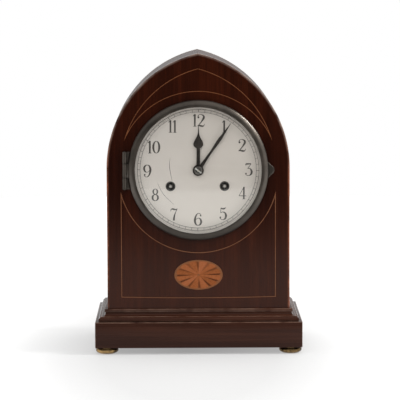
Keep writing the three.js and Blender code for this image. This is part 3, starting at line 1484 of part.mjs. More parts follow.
// Half-width against distance from the centre: rod, spade, then a fine needle.
const hourEdge = [
  [1.5, HOUR_HUB_RADIUS],
  [1.5, 0.5 * HOUR_HAND_LENGTH],
  [SPADE_HALF_WIDTH, 0.58 * HOUR_HAND_LENGTH],
  [SPADE_HALF_WIDTH * 0.9, 0.65 * HOUR_HAND_LENGTH],
  [1.4, 0.78 * HOUR_HAND_LENGTH],
  [0.5, 0.86 * HOUR_HAND_LENGTH],
  [0.15, HOUR_HAND_LENGTH],
];
const minuteEdge = [
  [1.5, MINUTE_HUB_RADIUS],
  [0.7, 0.38 * MINUTE_HAND_LENGTH],
  [1.25, 0.65 * MINUTE_HAND_LENGTH],
  [0.15, MINUTE_HAND_LENGTH],
];

function hand(hubRadius, hole, edge, frontDepth, backDepth, angle) {
  const upright = alongY(handShape(hubRadius, hole, edge), frontDepth, backDepth);
  return upright.rotateY(-radians(angle));
}

add(
  movement,
  "hour_hand",
  hand(
    HOUR_HUB_RADIUS,
    around(HOUR_PIPE_RADIUS + SEAT, HAND_HOLE_SIDES),
    hourEdge,
    HOUR_HAND_FRONT,
    HOUR_HAND_BACK,
    HOUR_HAND_ANGLE,
  ),
  steel,
);
add(
  movement,
  "minute_hand",
  hand(
    MINUTE_HUB_RADIUS,
    around(CANNON_PIPE_RADIUS - CANNON_NOSE + SEAT, HAND_HOLE_SIDES),
    minuteEdge,
    MINUTE_HAND_FRONT,
    MINUTE_HAND_BACK,
    MINUTE_HAND_ANGLE,
  ),
  steel,
);

function handCollet() {
  const bore = around(ARBOR_RADIUS + SEAT, COLLET_SIDES);
  const profile = [
    [bore, COLLET_BACK],
    [COLLET_RADIUS, COLLET_BACK],
    [COLLET_RADIUS * 0.9, COLLET_BACK - COLLET_HEIGHT * 0.5],
    [COLLET_RADIUS * 0.6, COLLET_BACK - COLLET_HEIGHT],
    [bore, COLLET_BACK - COLLET_HEIGHT],
    [bore, COLLET_BACK],
  ];
  return turnedY(profile, COLLET_SIDES);
}

add(movement, "hand_collet", handCollet(), steel);

// Striking train

add(
  movement,
  "strike_second_wheel",
  trainWheel({
    at: strikeSecond,
    wheel: wheelTeeth(strikeSecond, SECOND_TEETH, STRIKE_SECOND_MODULE, pinWheel),
    wheelDepth: STRIKE_SECOND_DEPTH,
    windows: crossings(strikeSecond, SECOND_TEETH, STRIKE_SECOND_MODULE),
    pinion: pinionLeaves(strikeSecond, GREAT_LEAVES, GREAT_MODULE, strikeWind),
    pinionDepth: meshDepth(GREAT_DEPTH, GREAT_THICKNESS),
    to: PLATE_BACK + COUNT_ARBOR,
  }),
  brass,
);

function liftingPins() {
  return Array.from({ length: LIFTING_PINS }, (_, i) => {
    const at = polar(LIFTING_PIN_RING, (2 * Math.PI * i) / LIFTING_PINS, pinWheel);
    const back = PIN_DEPTH + WHEEL_THICKNESS;
    return rodY(at, LIFTING_PIN_RADIUS, back - BITE, back + PIN_LENGTH, LIFTING_PIN_SIDES);
  });
}

add(
  movement,
  "pin_wheel",
  join(
    trainWheel({
      at: pinWheel,
      wheel: wheelTeeth(pinWheel, PIN_TEETH, PIN_MODULE, stopWheel),
      wheelDepth: PIN_DEPTH,
      pinion: pinionLeaves(pinWheel, SECOND_LEAVES, STRIKE_SECOND_MODULE, strikeSecond),
      pinionDepth: meshDepth(STRIKE_SECOND_DEPTH),
    }),
    ...liftingPins(),
  ),
  brass,
);
add(
  movement,
  "stop_wheel",
  trainWheel({
    at: stopWheel,
    wheel: wheelTeeth(stopWheel, STOP_TEETH, STOP_MODULE, fly),
    wheelDepth: STOP_DEPTH,
    pinion: pinionLeaves(stopWheel, FINE_LEAVES, PIN_MODULE, pinWheel),
    pinionDepth: meshDepth(PIN_DEPTH),
  }),
  brass,
);

// A two-bladed air brake on its own pinion.
function flyVanes() {
  const leaves = shapeOf(pinionLeaves(fly, FINE_LEAVES, STOP_MODULE, stopWheel));
  return join(
    arbor(fly),
    alongY(leaves, meshDepth(STOP_DEPTH), meshDepth(STOP_DEPTH) + PINION_LENGTH),
    block(
      fly.x - FLY_HALF_WIDTH,
      fly.x + FLY_HALF_WIDTH,
      FLY_DEPTH,
      FLY_DEPTH + FLY_LENGTH,
      fly.y - FLY_SHEET / 2,
      fly.y + FLY_SHEET / 2,
    ),
  );
}

add(movement, "fly", flyVanes(), brass);

// The count wheel's notches come after each hour's blows, so the gaps between them grow.
function countWheel() {
  const blows = (COUNT_NOTCHES * (COUNT_NOTCHES + 3)) / 2;
  const angle = (count) => (2 * Math.PI * count) / blows;
  const { x, y } = strikeSecond;
  const points = [];
  let done = 0;
  for (let hour = 1; hour <= COUNT_NOTCHES; hour++) {
    const rim = done + hour;
    const steps = Math.ceil(hour / COUNT_STEP);
    points.push(...arc(x, y, COUNT_WHEEL_RADIUS, angle(done), angle(rim), steps));
    points.push(polar(COUNT_WHEEL_RADIUS - COUNT_NOTCH, angle(rim), strikeSecond));
    done = rim + 1;
    points.push(polar(COUNT_WHEEL_RADIUS - COUNT_NOTCH, angle(done), strikeSecond));
  }
  const face = PLATE_BACK + SEAT;
  return alongY(shapeOf(points, pivotHole(strikeSecond)), face, face + COUNT_THICKNESS);
}

add(movement, "count_wheel", countWheel(), brass);

// Gong and hammer

const GONG_Z = GONG_RISE - DIAL_RISE; // from the dial's centre
const FLOOR_Z = -DIAL_RISE;

// A flat spiral with a straight lead at its inner end.
class GongCurve extends THREE.Curve {
  getPoint(t, target = new THREE.Vector3()) {
    const turn = GONG_LOOPS * 2 * Math.PI;
    const mean = GONG_INNER_RADIUS + (GONG_LOOPS * GONG_PITCH) / 2;
    const leadShare = GONG_LEAD / (GONG_LEAD + turn * mean);
    if (t < leadShare) {
      const z = GONG_Z - GONG_LEAD * (1 - t / leadShare);
      return target.set(GONG_X + GONG_INNER_RADIUS, GONG_DEPTH, z);
    }
    const angle = (turn * (t - leadShare)) / (1 - leadShare);
    const radius = GONG_INNER_RADIUS + (GONG_PITCH * angle) / (2 * Math.PI);
    const at = polar(radius, angle, point(GONG_X, GONG_Z));
    return target.set(at.x, GONG_DEPTH, at.y);
  }
}

function gong() {
  const path = new GongCurve();
  path.arcLengthDivisions = 400;
  const steps = Math.round(GONG_LOOPS * GONG_STEPS);
  const section = shapeOf(circle(0, 0, GONG_WIRE_RADIUS, GONG_SIDES));
  return new THREE.ExtrudeGeometry(section, { steps, extrudePath: path, bevelEnabled: false });
}

// The least gap between neighbouring loops, measured between points a loop apart or more.
function leastGap(path, radius, count) {
  const points = path.getSpacedPoints(count);
  let least = Infinity;
  const apart = Math.ceil((2 * Math.PI * GONG_INNER_RADIUS) / (path.getLength() / count));
  for (let i = 0; i < points.length; i++) {
    for (let j = i + apart; j < points.length; j++) {
      least = Math.min(least, points[i].distanceTo(points[j]));
    }
  }
  return least - 2 * radius;
}

const gongGap = leastGap(new GongCurve(), GONG_WIRE_RADIUS, GONG_MEASURE_POINTS);
console.log("gong: least gap to itself", gongGap.toFixed(2), "mm");
add(movement, "gong", gong(), steel);

// An iron foot on the case's floor, a post behind the coil and a head that grips the inner end.
function gongBlock() {
  const x = GONG_X + GONG_INNER_RADIUS;
  const top = GONG_Z - GONG_LEAD - SEAT;
  const half = GONG_POST / 2;
  const low = FLOOR_Z + SEAT;
  const footFront = GONG_DEPTH + GONG_FOOT_SETBACK;
  const footBack = BOARD_DEPTH - GONG_FOOT_CLEARANCE;
  const footTop = low + GONG_FOOT_HEIGHT;
  const postFront = GONG_DEPTH + GONG_POST_SETBACK;
  const nose = GONG_DEPTH - GONG_HEAD_NOSE;
  return join(
    block(x - GONG_FOOT_HALF, x + GONG_FOOT_HALF, footFront, footBack, low, footTop),
    block(x - half, x + half, postFront, postFront + GONG_POST, footTop - BITE, top),
    block(x - GONG_HEAD_HALF, x + GONG_HEAD_HALF, nose, postFront + BITE, top - GONG_HEAD_HEIGHT, top),
  );
}

add(movement, "gong_block", gongBlock(), iron);

// Arbor, lifting tail, bent rod and cylindrical head in one piece.
function hammer() {
  const { x, y: z } = hammerAt;
  const hubDepth = PLATE_BACK + HAMMER_HUB_GAP;
  const hubMiddle = hubDepth + HAMMER_HUB_LENGTH / 2;
  const hubBack = hubDepth + HAMMER_HUB_LENGTH;
  const outerLoops = Math.floor(GONG_LOOPS - 0.5) + 0.5; // turns to the coil's outermost left point
  const coilLeft = GONG_X - GONG_INNER_RADIUS - GONG_PITCH * outerLoops - GONG_WIRE_RADIUS;
  const headX = coilLeft - HAMMER_REST_GAP - HAMMER_HEAD_LENGTH / 2;
  const path = new THREE.CatmullRomCurve3([
    new THREE.Vector3(x, hubMiddle, z),
    new THREE.Vector3(x, hubBack, z - HAMMER_ROD_DROP),
    new THREE.Vector3(headX, GONG_DEPTH - HAMMER_ROD_LEAD, (z + GONG_Z) / 2),
    new THREE.Vector3(headX, GONG_DEPTH, GONG_Z + HAMMER_ROD_RISE),
    new THREE.Vector3(headX, GONG_DEPTH, GONG_Z),
  ]);
  const section = shapeOf(circle(0, 0, HAMMER_ROD_RADIUS, HAMMER_ROD_SIDES));
  const rod = new THREE.ExtrudeGeometry(section, {
    steps: HAMMER_ROD_STEPS,
    extrudePath: path,
    bevelEnabled: false,
  });
  const head = new THREE.CylinderGeometry(
    HAMMER_HEAD_RADIUS,
    HAMMER_HEAD_RADIUS,
    HAMMER_HEAD_LENGTH,
    HAMMER_SIDES,
  );
  head.rotateZ(Math.PI / 2).translate(headX, GONG_DEPTH, GONG_Z);
  const tailDepth = PIN_DEPTH + WHEEL_THICKNESS + HAMMER_TAIL_GAP;
  const pins = LIFTING_PIN_RING + LIFTING_PIN_RADIUS + HAMMER_TAIL_REST;
  const tail = block(
    x,
    x + hammerAt.distanceTo(pinWheel) - pins,
    tailDepth,
    tailDepth + HAMMER_TAIL,
    z - HAMMER_TAIL / 2,
    z + HAMMER_TAIL / 2,
  );
  const hub = rodY(hammerAt, HAMMER_HUB_RADIUS, hubDepth, hubBack, PIPE_SIDES);
  return join(arbor(hammerAt, 0, hubMiddle), tail, hub, rod, head);
}

add(movement, "hammer", hammer(), steel);

export default clock;
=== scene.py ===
# %% [markdown]
# This notebook dresses a small inlaid mahogany table clock of about 1905: a lancet case, a round silvered
# dial under a domed glass, and an eight-day movement behind it. The CAD comes in first as a fixed frame.
# It sets every place and every joint, and each finer piece made here rides on one of its bodies.

# %% Load the frame
import json
from math import acos, asin, atan2, cos, degrees, hypot, pi, radians, sin, sqrt

import bmesh
import bpy
from mathutils import Matrix, Vector

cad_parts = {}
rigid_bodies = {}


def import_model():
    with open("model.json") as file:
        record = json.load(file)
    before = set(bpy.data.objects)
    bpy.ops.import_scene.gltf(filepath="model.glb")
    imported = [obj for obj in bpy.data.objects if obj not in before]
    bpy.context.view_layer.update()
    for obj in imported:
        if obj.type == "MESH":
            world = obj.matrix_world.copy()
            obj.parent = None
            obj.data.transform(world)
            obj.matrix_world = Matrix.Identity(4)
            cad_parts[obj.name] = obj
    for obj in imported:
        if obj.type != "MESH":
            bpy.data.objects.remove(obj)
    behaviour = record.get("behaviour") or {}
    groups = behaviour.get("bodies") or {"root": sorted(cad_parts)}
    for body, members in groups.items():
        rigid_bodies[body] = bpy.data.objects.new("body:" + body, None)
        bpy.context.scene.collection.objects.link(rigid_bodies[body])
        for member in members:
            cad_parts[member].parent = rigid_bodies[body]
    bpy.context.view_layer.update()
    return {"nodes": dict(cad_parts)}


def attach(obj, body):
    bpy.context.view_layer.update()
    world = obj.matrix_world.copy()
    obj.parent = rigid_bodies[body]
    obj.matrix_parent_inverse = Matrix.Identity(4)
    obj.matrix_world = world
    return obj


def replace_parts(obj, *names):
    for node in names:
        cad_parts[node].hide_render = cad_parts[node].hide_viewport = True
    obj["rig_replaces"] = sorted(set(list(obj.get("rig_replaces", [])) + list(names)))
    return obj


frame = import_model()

MM = 0.001  # the notebook counts in millimetres, Blender in metres

# %% [markdown]
# A finished piece is cleaned like a casting: loose seams are welded, faces turned outward, and the shading
# kept soft except at true corners. Then it is given to the body it moves with, and to the plainer CAD pieces
# that it stands for.

# %% Fitting a piece
SEAM = 1e-6
SHARP = radians(32)


def in_scene(name, data):
    obj = bpy.data.objects.new(name, data)
    bpy.context.scene.collection.objects.link(obj)
    return obj


def worked(shape, mesh=None):
    """An edited shape, written back to its mesh or to a new one."""
    mesh = mesh or bpy.data.meshes.new("shape")
    shape.to_mesh(mesh)
    shape.free()
    return mesh


def cleaned(mesh):
    shape = bmesh.new()
    shape.from_mesh(mesh)
    bmesh.ops.remove_doubles(shape, verts=shape.verts[:], dist=SEAM)
    bmesh.ops.recalc_face_normals(shape, faces=shape.faces[:])
    worked(shape, mesh)
    mesh.shade_smooth()
    mesh.set_sharp_from_angle(angle=SHARP)
    return mesh


def fit(name, mesh, finish, slot, *stands_for, body="case"):
    cleaned(mesh)
    mesh.materials.clear()
    mesh.materials.append(finish)
    obj = in_scene(name, mesh)
    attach(obj, body)
    if stands_for:
        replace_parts(obj, *stands_for)
    print(f"{name}: {len(mesh.polygons)} faces on {body}")
    return obj


print("corners are kept sharp from", round(degrees(SHARP)), "degrees")

# %% [markdown]
# Finishes are mixed from noise and gradients in the piece's own space, so the grain runs through a board the
# way it grew. These helpers add one node each: a noise, a colour ramp, a mix, a sum, a bump.

# %% Mixing finishes
SKIN = "Principled BSDF"


def feed(tree, socket, value):
    if isinstance(value, bpy.types.NodeSocket):
        tree.links.new(value, socket)
    else:
        socket.default_value = (*value[:3], 1) if socket.type == "RGBA" else value


def node(tree, kind, inputs, **settings):
    made = tree.nodes.new(kind)
    for name, value in settings.items():
        setattr(made, name, value)
    for name, value in inputs.items():
        feed(tree, made.inputs[name], value)
    return made


def fed(tree, skin, **inputs):
    for name, value in inputs.items():
        feed(tree, skin.inputs[name.replace("_", " ")], value)


def new_finish(name):
    finish = bpy.data.materials.new(name)
    finish.use_nodes = True
    return finish, finish.node_tree, finish.node_tree.nodes[SKIN]


def stored(tree, name, kind="Fac"):
    """A value kept on the mesh."""
    return node(tree, "ShaderNodeAttribute", {}, attribute_name=name).outputs[kind]


def space(tree, scale, centre=(0, 0, 0), mark=None):
    """The piece's own space, stretched, with the centre (in millimetres) moved to the origin.
    A mark names a place stored on the mesh, for grain that follows a bend."""
    where = stored(tree, mark, "Vector") if mark else node(tree, "ShaderNodeTexCoord", {}).outputs["Object"]
    moved = [-c * MM * s for c, s in zip(centre, scale)]
    inputs = {"Vector": where, "Scale": scale, "Location": moved}
    return node(tree, "ShaderNodeMapping", inputs).outputs["Vector"]


def axis_of(tree, vector, axis):
    return node(tree, "ShaderNodeSeparateXYZ", {"Vector": vector}).outputs[axis]


def reach_of(tree, vector):
    return node(tree, "ShaderNodeVectorMath", {0: vector}, operation="LENGTH").outputs["Value"]


def noise(tree, where, detail=4.0, rough=0.55, warp=0.0):
    inputs = {"Vector": where, "Scale": 1.0, "Detail": detail, "Roughness": rough, "Distortion": warp}
    return node(tree, "ShaderNodeTexNoise", inputs).outputs["Fac"]


trial, tree, _ = new_finish("trial")
print("a finish starts from:", [made.name for made in tree.nodes])
bpy.data.materials.remove(trial)

# %% Ramps, blends and sums
def ramp(tree, factor, stops):
    """Colours along a factor. A bare number stands for a grey."""
    made = node(tree, "ShaderNodeValToRGB", {"Fac": factor})
    steps = made.color_ramp.elements
    while len(steps) < len(stops):
        steps.new(0.5)
    for step, (place, colour) in zip(steps, stops):
        step.position = place
        step.color = (*(colour if isinstance(colour, tuple) else (colour,) * 3), 1)
    return made.outputs["Color"]


def mask(tree, factor, low, high):
    return ramp(tree, factor, [(low, 0), (high, 1)])


def blend(tree, factor, a, b, mode="MIX"):
    made = node(tree, "ShaderNodeMix", {}, data_type="RGBA", blend_type=mode)
    for place, value in zip((0, 6, 7), (factor, a, b)):
        feed(tree, made.inputs[place], value)
    return made.outputs[2]


def sums(tree, operation, a, b):
    return node(tree, "ShaderNodeMath", {0: a, 1: b}, operation=operation).outputs[0]


def times(tree, a, b):
    return sums(tree, "MULTIPLY", a, b)


def plus(tree, a, b):
    return sums(tree, "ADD", a, b)


def bump(tree, height, depth, strength=1.0):
    inputs = {"Height": height, "Distance": depth * MM, "Strength": strength}
    return node(tree, "ShaderNodeBump", inputs).outputs["Normal"]


trial, tree, _ = new_finish("trial")
mask(tree, times(tree, noise(tree, space(tree, (1, 1, 1))), 2), 0.3, 0.7)
print("a masked noise takes:", [made.name for made in tree.nodes][2:])
bpy.data.materials.remove(trial)

# %% [markdown]
# Polished mahogany. Broad ribbons of light and dark come from the interlocked grain, finer lines lie inside
# them, and short dark pores on top. The film of polish is a clear coat, thin enough to show the pores. Where
# an arris is marked as rubbed, the bare wood under the polish shows lighter. The same mark also carries a
# painted sheen, where light falls on the arch's arris and on the upright face of the base's top fillet.

# %% Wood
RIBBONS, LINES, PORES = (42, 3.2), (310, 7), (1900, 75)  # waves in a metre, across the grain and along it
PATCHES, WANDER = (60, 60, 60), (9, 9, 2)
RIBBON_SHARE, LINE_SHARE, RING_SHARE, WANDER_SHARE = 0.52, 0.48, 0.13, 0.03
RINGS_PER_METRE, TALL = 380, 304


def streaks(tree, waves, along, mark, **kind):
    across, lengthwise = waves
    return noise(
        tree, space(tree, [lengthwise if axis == along else across for axis in "XYZ"], mark=mark), **kind
    )


def by_height(tree, heights):
    up = axis_of(tree, space(tree, (1, 1, 1 / (TALL * MM))), "Z")
    return ramp(tree, up, [(z / TALL, tint) for z, tint in heights])


def wood(
    name, along, tones, bare_and_sheen, gloss, coat, pore=0.45, mark=None, heart=None, shine=0.13, heights=(), calm=()
):
    finish, tree, skin = new_finish(name)
    ribbons = streaks(tree, RIBBONS, along, mark, detail=3, rough=0.6, warp=0.8)
    lines = streaks(tree, LINES, along, mark, detail=6, rough=0.7)
    pores = mask(tree, streaks(tree, PORES, along, mark, detail=1), 0.6, 0.7)
    tone = plus(tree, times(tree, ribbons, RIBBON_SHARE), times(tree, lines, LINE_SHARE))
    if heart:
        wander = times(tree, noise(tree, space(tree, WANDER)), WANDER_SHARE)
        reach = plus(tree, reach_of(tree, space(tree, (1, 1, 0.1), heart)), wander)
        year = sums(tree, "FRACT", times(tree, reach, RINGS_PER_METRE), 0)
        tone = sums(tree, "SUBTRACT", tone, times(tree, sums(tree, "POWER", year, 2), RING_SHARE))
    if calm:
        tone = blend(tree, by_height(tree, calm), tone, (0.5, 0.5, 0.5))
    dark, middle, light = tones
    colour = ramp(tree, tone, [(0.28, dark), (0.5, middle), (0.74, light)])
    # heights multiply the colour by height; on the front veneer this is painted light and shade
    if heights:
        colour = blend(tree, 1.0, colour, by_height(tree, heights), "MULTIPLY")
    colour = blend(tree, times(tree, pores, pore), colour, dark)
    patchy = mask(tree, noise(tree, space(tree, PATCHES), detail=5), 0.32, 0.62)
    # bare wood on worn arrises; on the arch's arris and the top fillet this colour is a painted sheen
    if isinstance(bare_and_sheen, list):
        bare_and_sheen = by_height(tree, bare_and_sheen)
    fed(
        tree, skin, Base_Color=blend(tree, times(tree, stored(tree, "rub"), patchy), colour, bare_and_sheen),
        Roughness=ramp(tree, lines, [(0.3, gloss), (0.75, gloss + 0.1)]),
        Specular_IOR_Level=shine, Coat_Weight=coat, Coat_Roughness=0.12,
        Normal=bump(tree, pores, -0.03, pore),
    )
    return finish


print("year rings of pine lie", round(1000 / RINGS_PER_METRE, 1), "mm apart")

# %% The case's woods
MAHOGANY = ((0.013, 0.0037, 0.002), (0.030, 0.0076, 0.0034), (0.062, 0.0155, 0.006))
VENEER = ((0.0155, 0.0043, 0.002), (0.036, 0.009, 0.0036), (0.074, 0.0185, 0.0066))
# painted light: the veneer is painted palest near the base, where light from the floor falls on it, and
# darkest beside the dial
VENEER_PAINTED_LIGHT = [
    (55, 1), (115, (0.8, 0.7, 0.62)), (155, (0.53, 0.36, 0.26)), (200, (0.53, 0.36, 0.26)),
    (245, (0.68, 0.48, 0.35)),
]
VENEER_CALM = [(58, 0.6), (100, 0.25), (140, 0)]
BARE_MAHOGANY = (0.3, 0.092, 0.045)
# the arris shows bare wood low down; up the arch its colour turns grey, a painted sheen of light on the
# rounded arris
BARE_AND_SHEEN_FRONT = [
    (175, BARE_MAHOGANY), (215, (0.24, 0.14, 0.105)), (245, (0.34, 0.265, 0.225)), (285, (0.19, 0.13, 0.105)),
]
BASE_MAHOGANY = ((0.0165, 0.0066, 0.0046), (0.033, 0.0113, 0.0067), (0.057, 0.0195, 0.011))
MOULDED_MAHOGANY = ((0.018, 0.0066, 0.0042), (0.04, 0.0128, 0.0068), (0.078, 0.026, 0.0135))
# bare wood on the base's worn arrises; on the upright face of the moulding's top fillet it is a painted sheen
BARE_BASE_AND_SHEEN = (0.18, 0.105, 0.075)
PINE = ((0.05, 0.023, 0.010), (0.115, 0.058, 0.026), (0.165, 0.092, 0.046))
BARE_PINE = (0.3, 0.19, 0.1)

front_wood = wood(
    "front_mahogany", "Z", VENEER, BARE_AND_SHEEN_FRONT, 0.15, 0.02, shine=0.15, heights=VENEER_PAINTED_LIGHT,
    calm=VENEER_CALM,
)
base_wood = wood("base_mahogany", "X", BASE_MAHOGANY, BARE_BASE_AND_SHEEN, 0.22, 0.03, 0.2)
moulded_wood = wood("moulded_mahogany", "X", MOULDED_MAHOGANY, BARE_BASE_AND_SHEEN, 0.22, 0.06, 0.08, mark="grain")
side_wood = wood("side_mahogany", "Z", MAHOGANY, BARE_MAHOGANY, 0.3, 0.03, 0.06, mark="grain")
pine = wood("stained_pine", "Z", PINE, BARE_PINE, 0.5, 0.0, 0.2, heart=(18, 20, 120))
seat_pine = wood("seat_pine", "X", PINE, BARE_PINE, 0.55, 0.0, 0.2)
print("woods:", [w.name for w in (front_wood, base_wood, moulded_wood, side_wood, pine, seat_pine)])

# %% [markdown]
# Metals. The bezel's brass has gone brown and dull with age, the movement's brass is still bright under its
# lacquer, the hands and springs are dark steel, and the dial is brass rubbed with silvering powder, which
# leaves a pale, soft grain and no mirror. Glass is mostly a clear film that mirrors more toward its edge.

# %% Metal and glass
SCUFFS, SMEARS = (900, 540, 900), (35, 35, 90)  # waves in a metre


def metal(name, tones, gloss, metallic=1.0, cloud=55, scuffed=0.25):
    finish, tree, skin = new_finish(name)
    clouds = noise(tree, space(tree, (cloud,) * 3), detail=6, rough=0.65)
    shiny, dull = gloss
    fed(
        tree, skin, Base_Color=ramp(tree, clouds, [(0.35, tones[0]), (0.65, tones[1])]), Metallic=metallic,
        Roughness=ramp(tree, clouds, [(0.3, shiny), (0.7, dull)]),
        Normal=bump(tree, noise(tree, space(tree, SCUFFS), detail=3), 0.01, scuffed),
    )
    return finish


def taken_up(finish):
    """A finish that is to be worked over: its tree, its skin and the colour it has so far."""
    skin = finish.node_tree.nodes[SKIN]
    return finish.node_tree, skin, skin.inputs["Base Color"].links[0].from_socket


def tarnished_brass():
    """Tarnished brass with painted light and shade: the upper half of the bezel is painted lighter and the
    lower half darker.
    """
    heights = [(118, 0.46), (150, 0.5), (186, 0.74), (215, 0.97), (250, 1)]
    tones = ((0.092, 0.078, 0.065), (0.138, 0.117, 0.0975))
    finish = metal("tarnished_brass", tones, (0.33, 0.44), 0.95, scuffed=0.1)
    tree, skin, even = taken_up(finish)
    colour = blend(tree, 1.0, even, by_height(tree, heights), "MULTIPLY")
    fed(tree, skin, Base_Color=colour, Coat_Weight=0.3, Coat_Roughness=0.14)
    return finish


def clear_glass(name):
    finish, tree, skin = new_finish(name)
    tree.nodes.remove(skin)
    smears = noise(tree, space(tree, SMEARS), detail=5)
    mirror = node(tree, "ShaderNodeBsdfGlossy", {"Roughness": ramp(tree, smears, [(0.3, 0.01), (0.8, 0.09)])})
    film = node(tree, "ShaderNodeBsdfTransparent", {"Color": (0.985, 0.992, 0.986)})
    slant = node(tree, "ShaderNodeLayerWeight", {}).outputs["Facing"]
    share = ramp(tree, slant, [(0, 0.02), (0.5, 0.04), (0.8, 0.2), (1, 0.8)])
    both = node(tree, "ShaderNodeMixShader", {"Fac": share, 1: film.outputs[0], 2: mirror.outputs[0]})
    tree.links.new(both.outputs[0], tree.nodes["Material Output"].inputs["Surface"])
    return finish


bezel_brass = tarnished_brass()
brass = metal("lacquered_brass", ((0.47, 0.32, 0.118), (0.62, 0.44, 0.18)), (0.2, 0.34), scuffed=0.08)
foot_brass = metal(
    "foot_brass", ((0.025, 0.015, 0.008), (0.52, 0.34, 0.145)), (0.1, 0.22), cloud=85, scuffed=0.06
)
steel = metal("dark_steel", ((0.1, 0.095, 0.088), (0.17, 0.16, 0.15)), (0.25, 0.4))
blackened = metal("blackened_steel", ((0.022, 0.017, 0.014), (0.046, 0.037, 0.031)), (0.34, 0.48), 0.5)
collet_steel = metal("rubbed_steel", ((0.058, 0.052, 0.047), (0.14, 0.128, 0.118)), (0.28, 0.42), 0.5, 420)
bright_steel = metal("bright_steel", ((0.5, 0.49, 0.47), (0.68, 0.67, 0.64)), (0.35, 0.5), 0.7)
iron = metal("black_iron", ((0.012, 0.012, 0.012), (0.03, 0.029, 0.027)), (0.45, 0.62), 0.3)
glass = clear_glass("dial_glass")
print("metals and glass:", [m.name for m in (bezel_brass, brass, foot_brass, steel, blackened, iron, glass)])

# %% [markdown]
# The base. A heavy plinth is sawn from the solid and hollowed underneath, and a moulding is run round three
# of its sides with a moulding plane and mitred. Here the moulding is a stack of rectangles that follow the
# plane's section, so the corners mitre themselves. Every arris is eased with a bevel.

# %% Plinth
PLINTH_HALF_X, PLINTH_HALF_Y = 105, 70
PLINTH_LOW, PLINTH_HIGH = 6.6, 32.8
RECESS_RIM, RECESS_DEPTH = 30, 9
PLINTH_EASE, UNDER_RUB = 0.6, 0.15
ARRIS_STEPS = 3


def eased(shape, edges, width, steps=ARRIS_STEPS):
    """Rounds the edges over and returns the new faces."""
    made = bmesh.ops.bevel(shape, geom=edges, offset=width * MM, segments=steps, profile=0.5, affect="EDGES")
    return made["faces"]


def plinth():
    shape = bmesh.new()
    bmesh.ops.create_cube(shape, size=2)
    for v in shape.verts:
        z = PLINTH_LOW if v.co.z < 0 else PLINTH_HIGH
        v.co = Vector((v.co.x * PLINTH_HALF_X, v.co.y * PLINTH_HALF_Y, z)) * MM
    arrises = shape.edges[:]
    under = min(shape.faces, key=lambda f: f.calc_center_median().z)
    bmesh.ops.inset_region(shape, faces=[under], thickness=RECESS_RIM * MM)
    roof = bmesh.ops.extrude_discrete_faces(shape, faces=[under])["faces"][0]
    bmesh.ops.translate(shape, verts=roof.verts[:], vec=(0, 0, RECESS_DEPTH * MM))
    rub = shape.loops.layers.float.new("rub")
    for face in eased(shape, arrises, PLINTH_EASE):
        rubbed = 1 if face.calc_center_median().z > PLINTH_LOW * 2 * MM else UNDER_RUB
        for corner in face.loops:
            corner[rub] = rubbed
    return worked(shape)


fit("plinth", plinth(), base_wood, "mahogany", "plinth_block")

# %% Moulding
CASE_HALF, CASE_FRONT, BASE_BACK = 92.5, -57.5, 67


def spread(start, end, steps):
    return [start + (end - start) * i / steps for i in range(steps + 1)]


def bent(start, control, end, steps=10):
    """A quarter round or hollow from start to end, pulled toward the control point."""
    return [
        tuple((1 - t) ** 2 * a + 2 * t * (1 - t) * b + t * t * c for a, b, c in zip(start, control, end))
        for t in spread(0, 1, steps)
    ]


# the upright face of the top fillet gets this share of bare-wood colour as a painted sheen of the light
# falling on it
FILLET, FILLET_PAINTED_SHEEN = 9.2, 0.3
# reach beyond the case and height above the plinth: fillet, ovolo, fillet, hollow, fillet
SECTION = [
    (8.6, 0), (8.6, 0.9), *bent((9.4, 0.9), (9.1, 4.2), (7, 4.5)), (7, 5.3),
    *bent((6.2, 5.3), (2, 5.3), (2, 9.2)), (2.8, FILLET), (2.8, 12.4),
]
MOULDING_EASE, MOULDING_CORNER, SHORTEST = 0.4, radians(40), 50
UPRIGHT = 0.1  # how little an upright face points up or down


def mesh_of(points, faces):
    mesh = bpy.data.meshes.new("shape")
    mesh.from_pydata([(x * MM, y * MM, z * MM) for x, y, z in points], [], faces)
    return mesh


def moulding():
    points = []
    for reach, height in SECTION:
        x, y, z = CASE_HALF + reach, CASE_FRONT - reach, PLINTH_HIGH + height
        points += [(-x, y, z), (x, y, z), (x, BASE_BACK, z), (-x, BASE_BACK, z)]
    faces = [(3, 2, 1, 0), tuple(range(len(points) - 4, len(points)))]
    for row in range(0, len(points) - 4, 4):
        faces += [(row + i, row + (i + 1) % 4, row + (i + 1) % 4 + 4, row + i + 4) for i in range(4)]
    mesh = mesh_of(points, faces)
    shape = bmesh.new()
    shape.from_mesh(mesh)
    bmesh.ops.recalc_face_normals(shape, faces=shape.faces[:])
    lengthwise = [
        edge for edge in shape.edges
        if edge.calc_face_angle_signed(0) > MOULDING_CORNER and edge.calc_length() > SHORTEST * MM
    ]
    rub, grain = shape.loops.layers.float.new("rub"), shape.loops.layers.float_vector.new("grain")
    for face in eased(shape, lengthwise, MOULDING_EASE, 2):
        for corner in face.loops:
            corner[rub] = 1
    for face in shape.faces:
        middle = face.calc_center_median()
        returned = abs(middle.x) > CASE_HALF / 2 * MM
        upright_fillet = middle.z > (PLINTH_HIGH + FILLET) * MM and abs(face.normal.z) < UPRIGHT
        for corner in face.loops:
            x, y, z = corner.vert.co
            corner[grain] = (y + 1, x, z) if returned else (x, y, z)
            # painted sheen on the upright face of the top fillet
            if upright_fillet:
                corner[rub] = FILLET_PAINTED_SHEEN
    return worked(shape, mesh)


fit("moulding", moulding(), moulded_wood, "mahogany", "base_moulding")

# %% [markdown]
# Four turned brass buns carry the base. Turned work starts from a drawn profile, so these tools draw first:
# arcs, circles, and a smooth curve through a few chosen points. A lathe then sweeps the profile round an
# axis, and one small routine does the same for the feet, the bezel, the glass and every other round piece.

# %% Drawn lines
def arc(x, z, radius, start, end, steps):
    return [(x + radius * cos(a), z + radius * sin(a)) for a in spread(start, end, steps)]


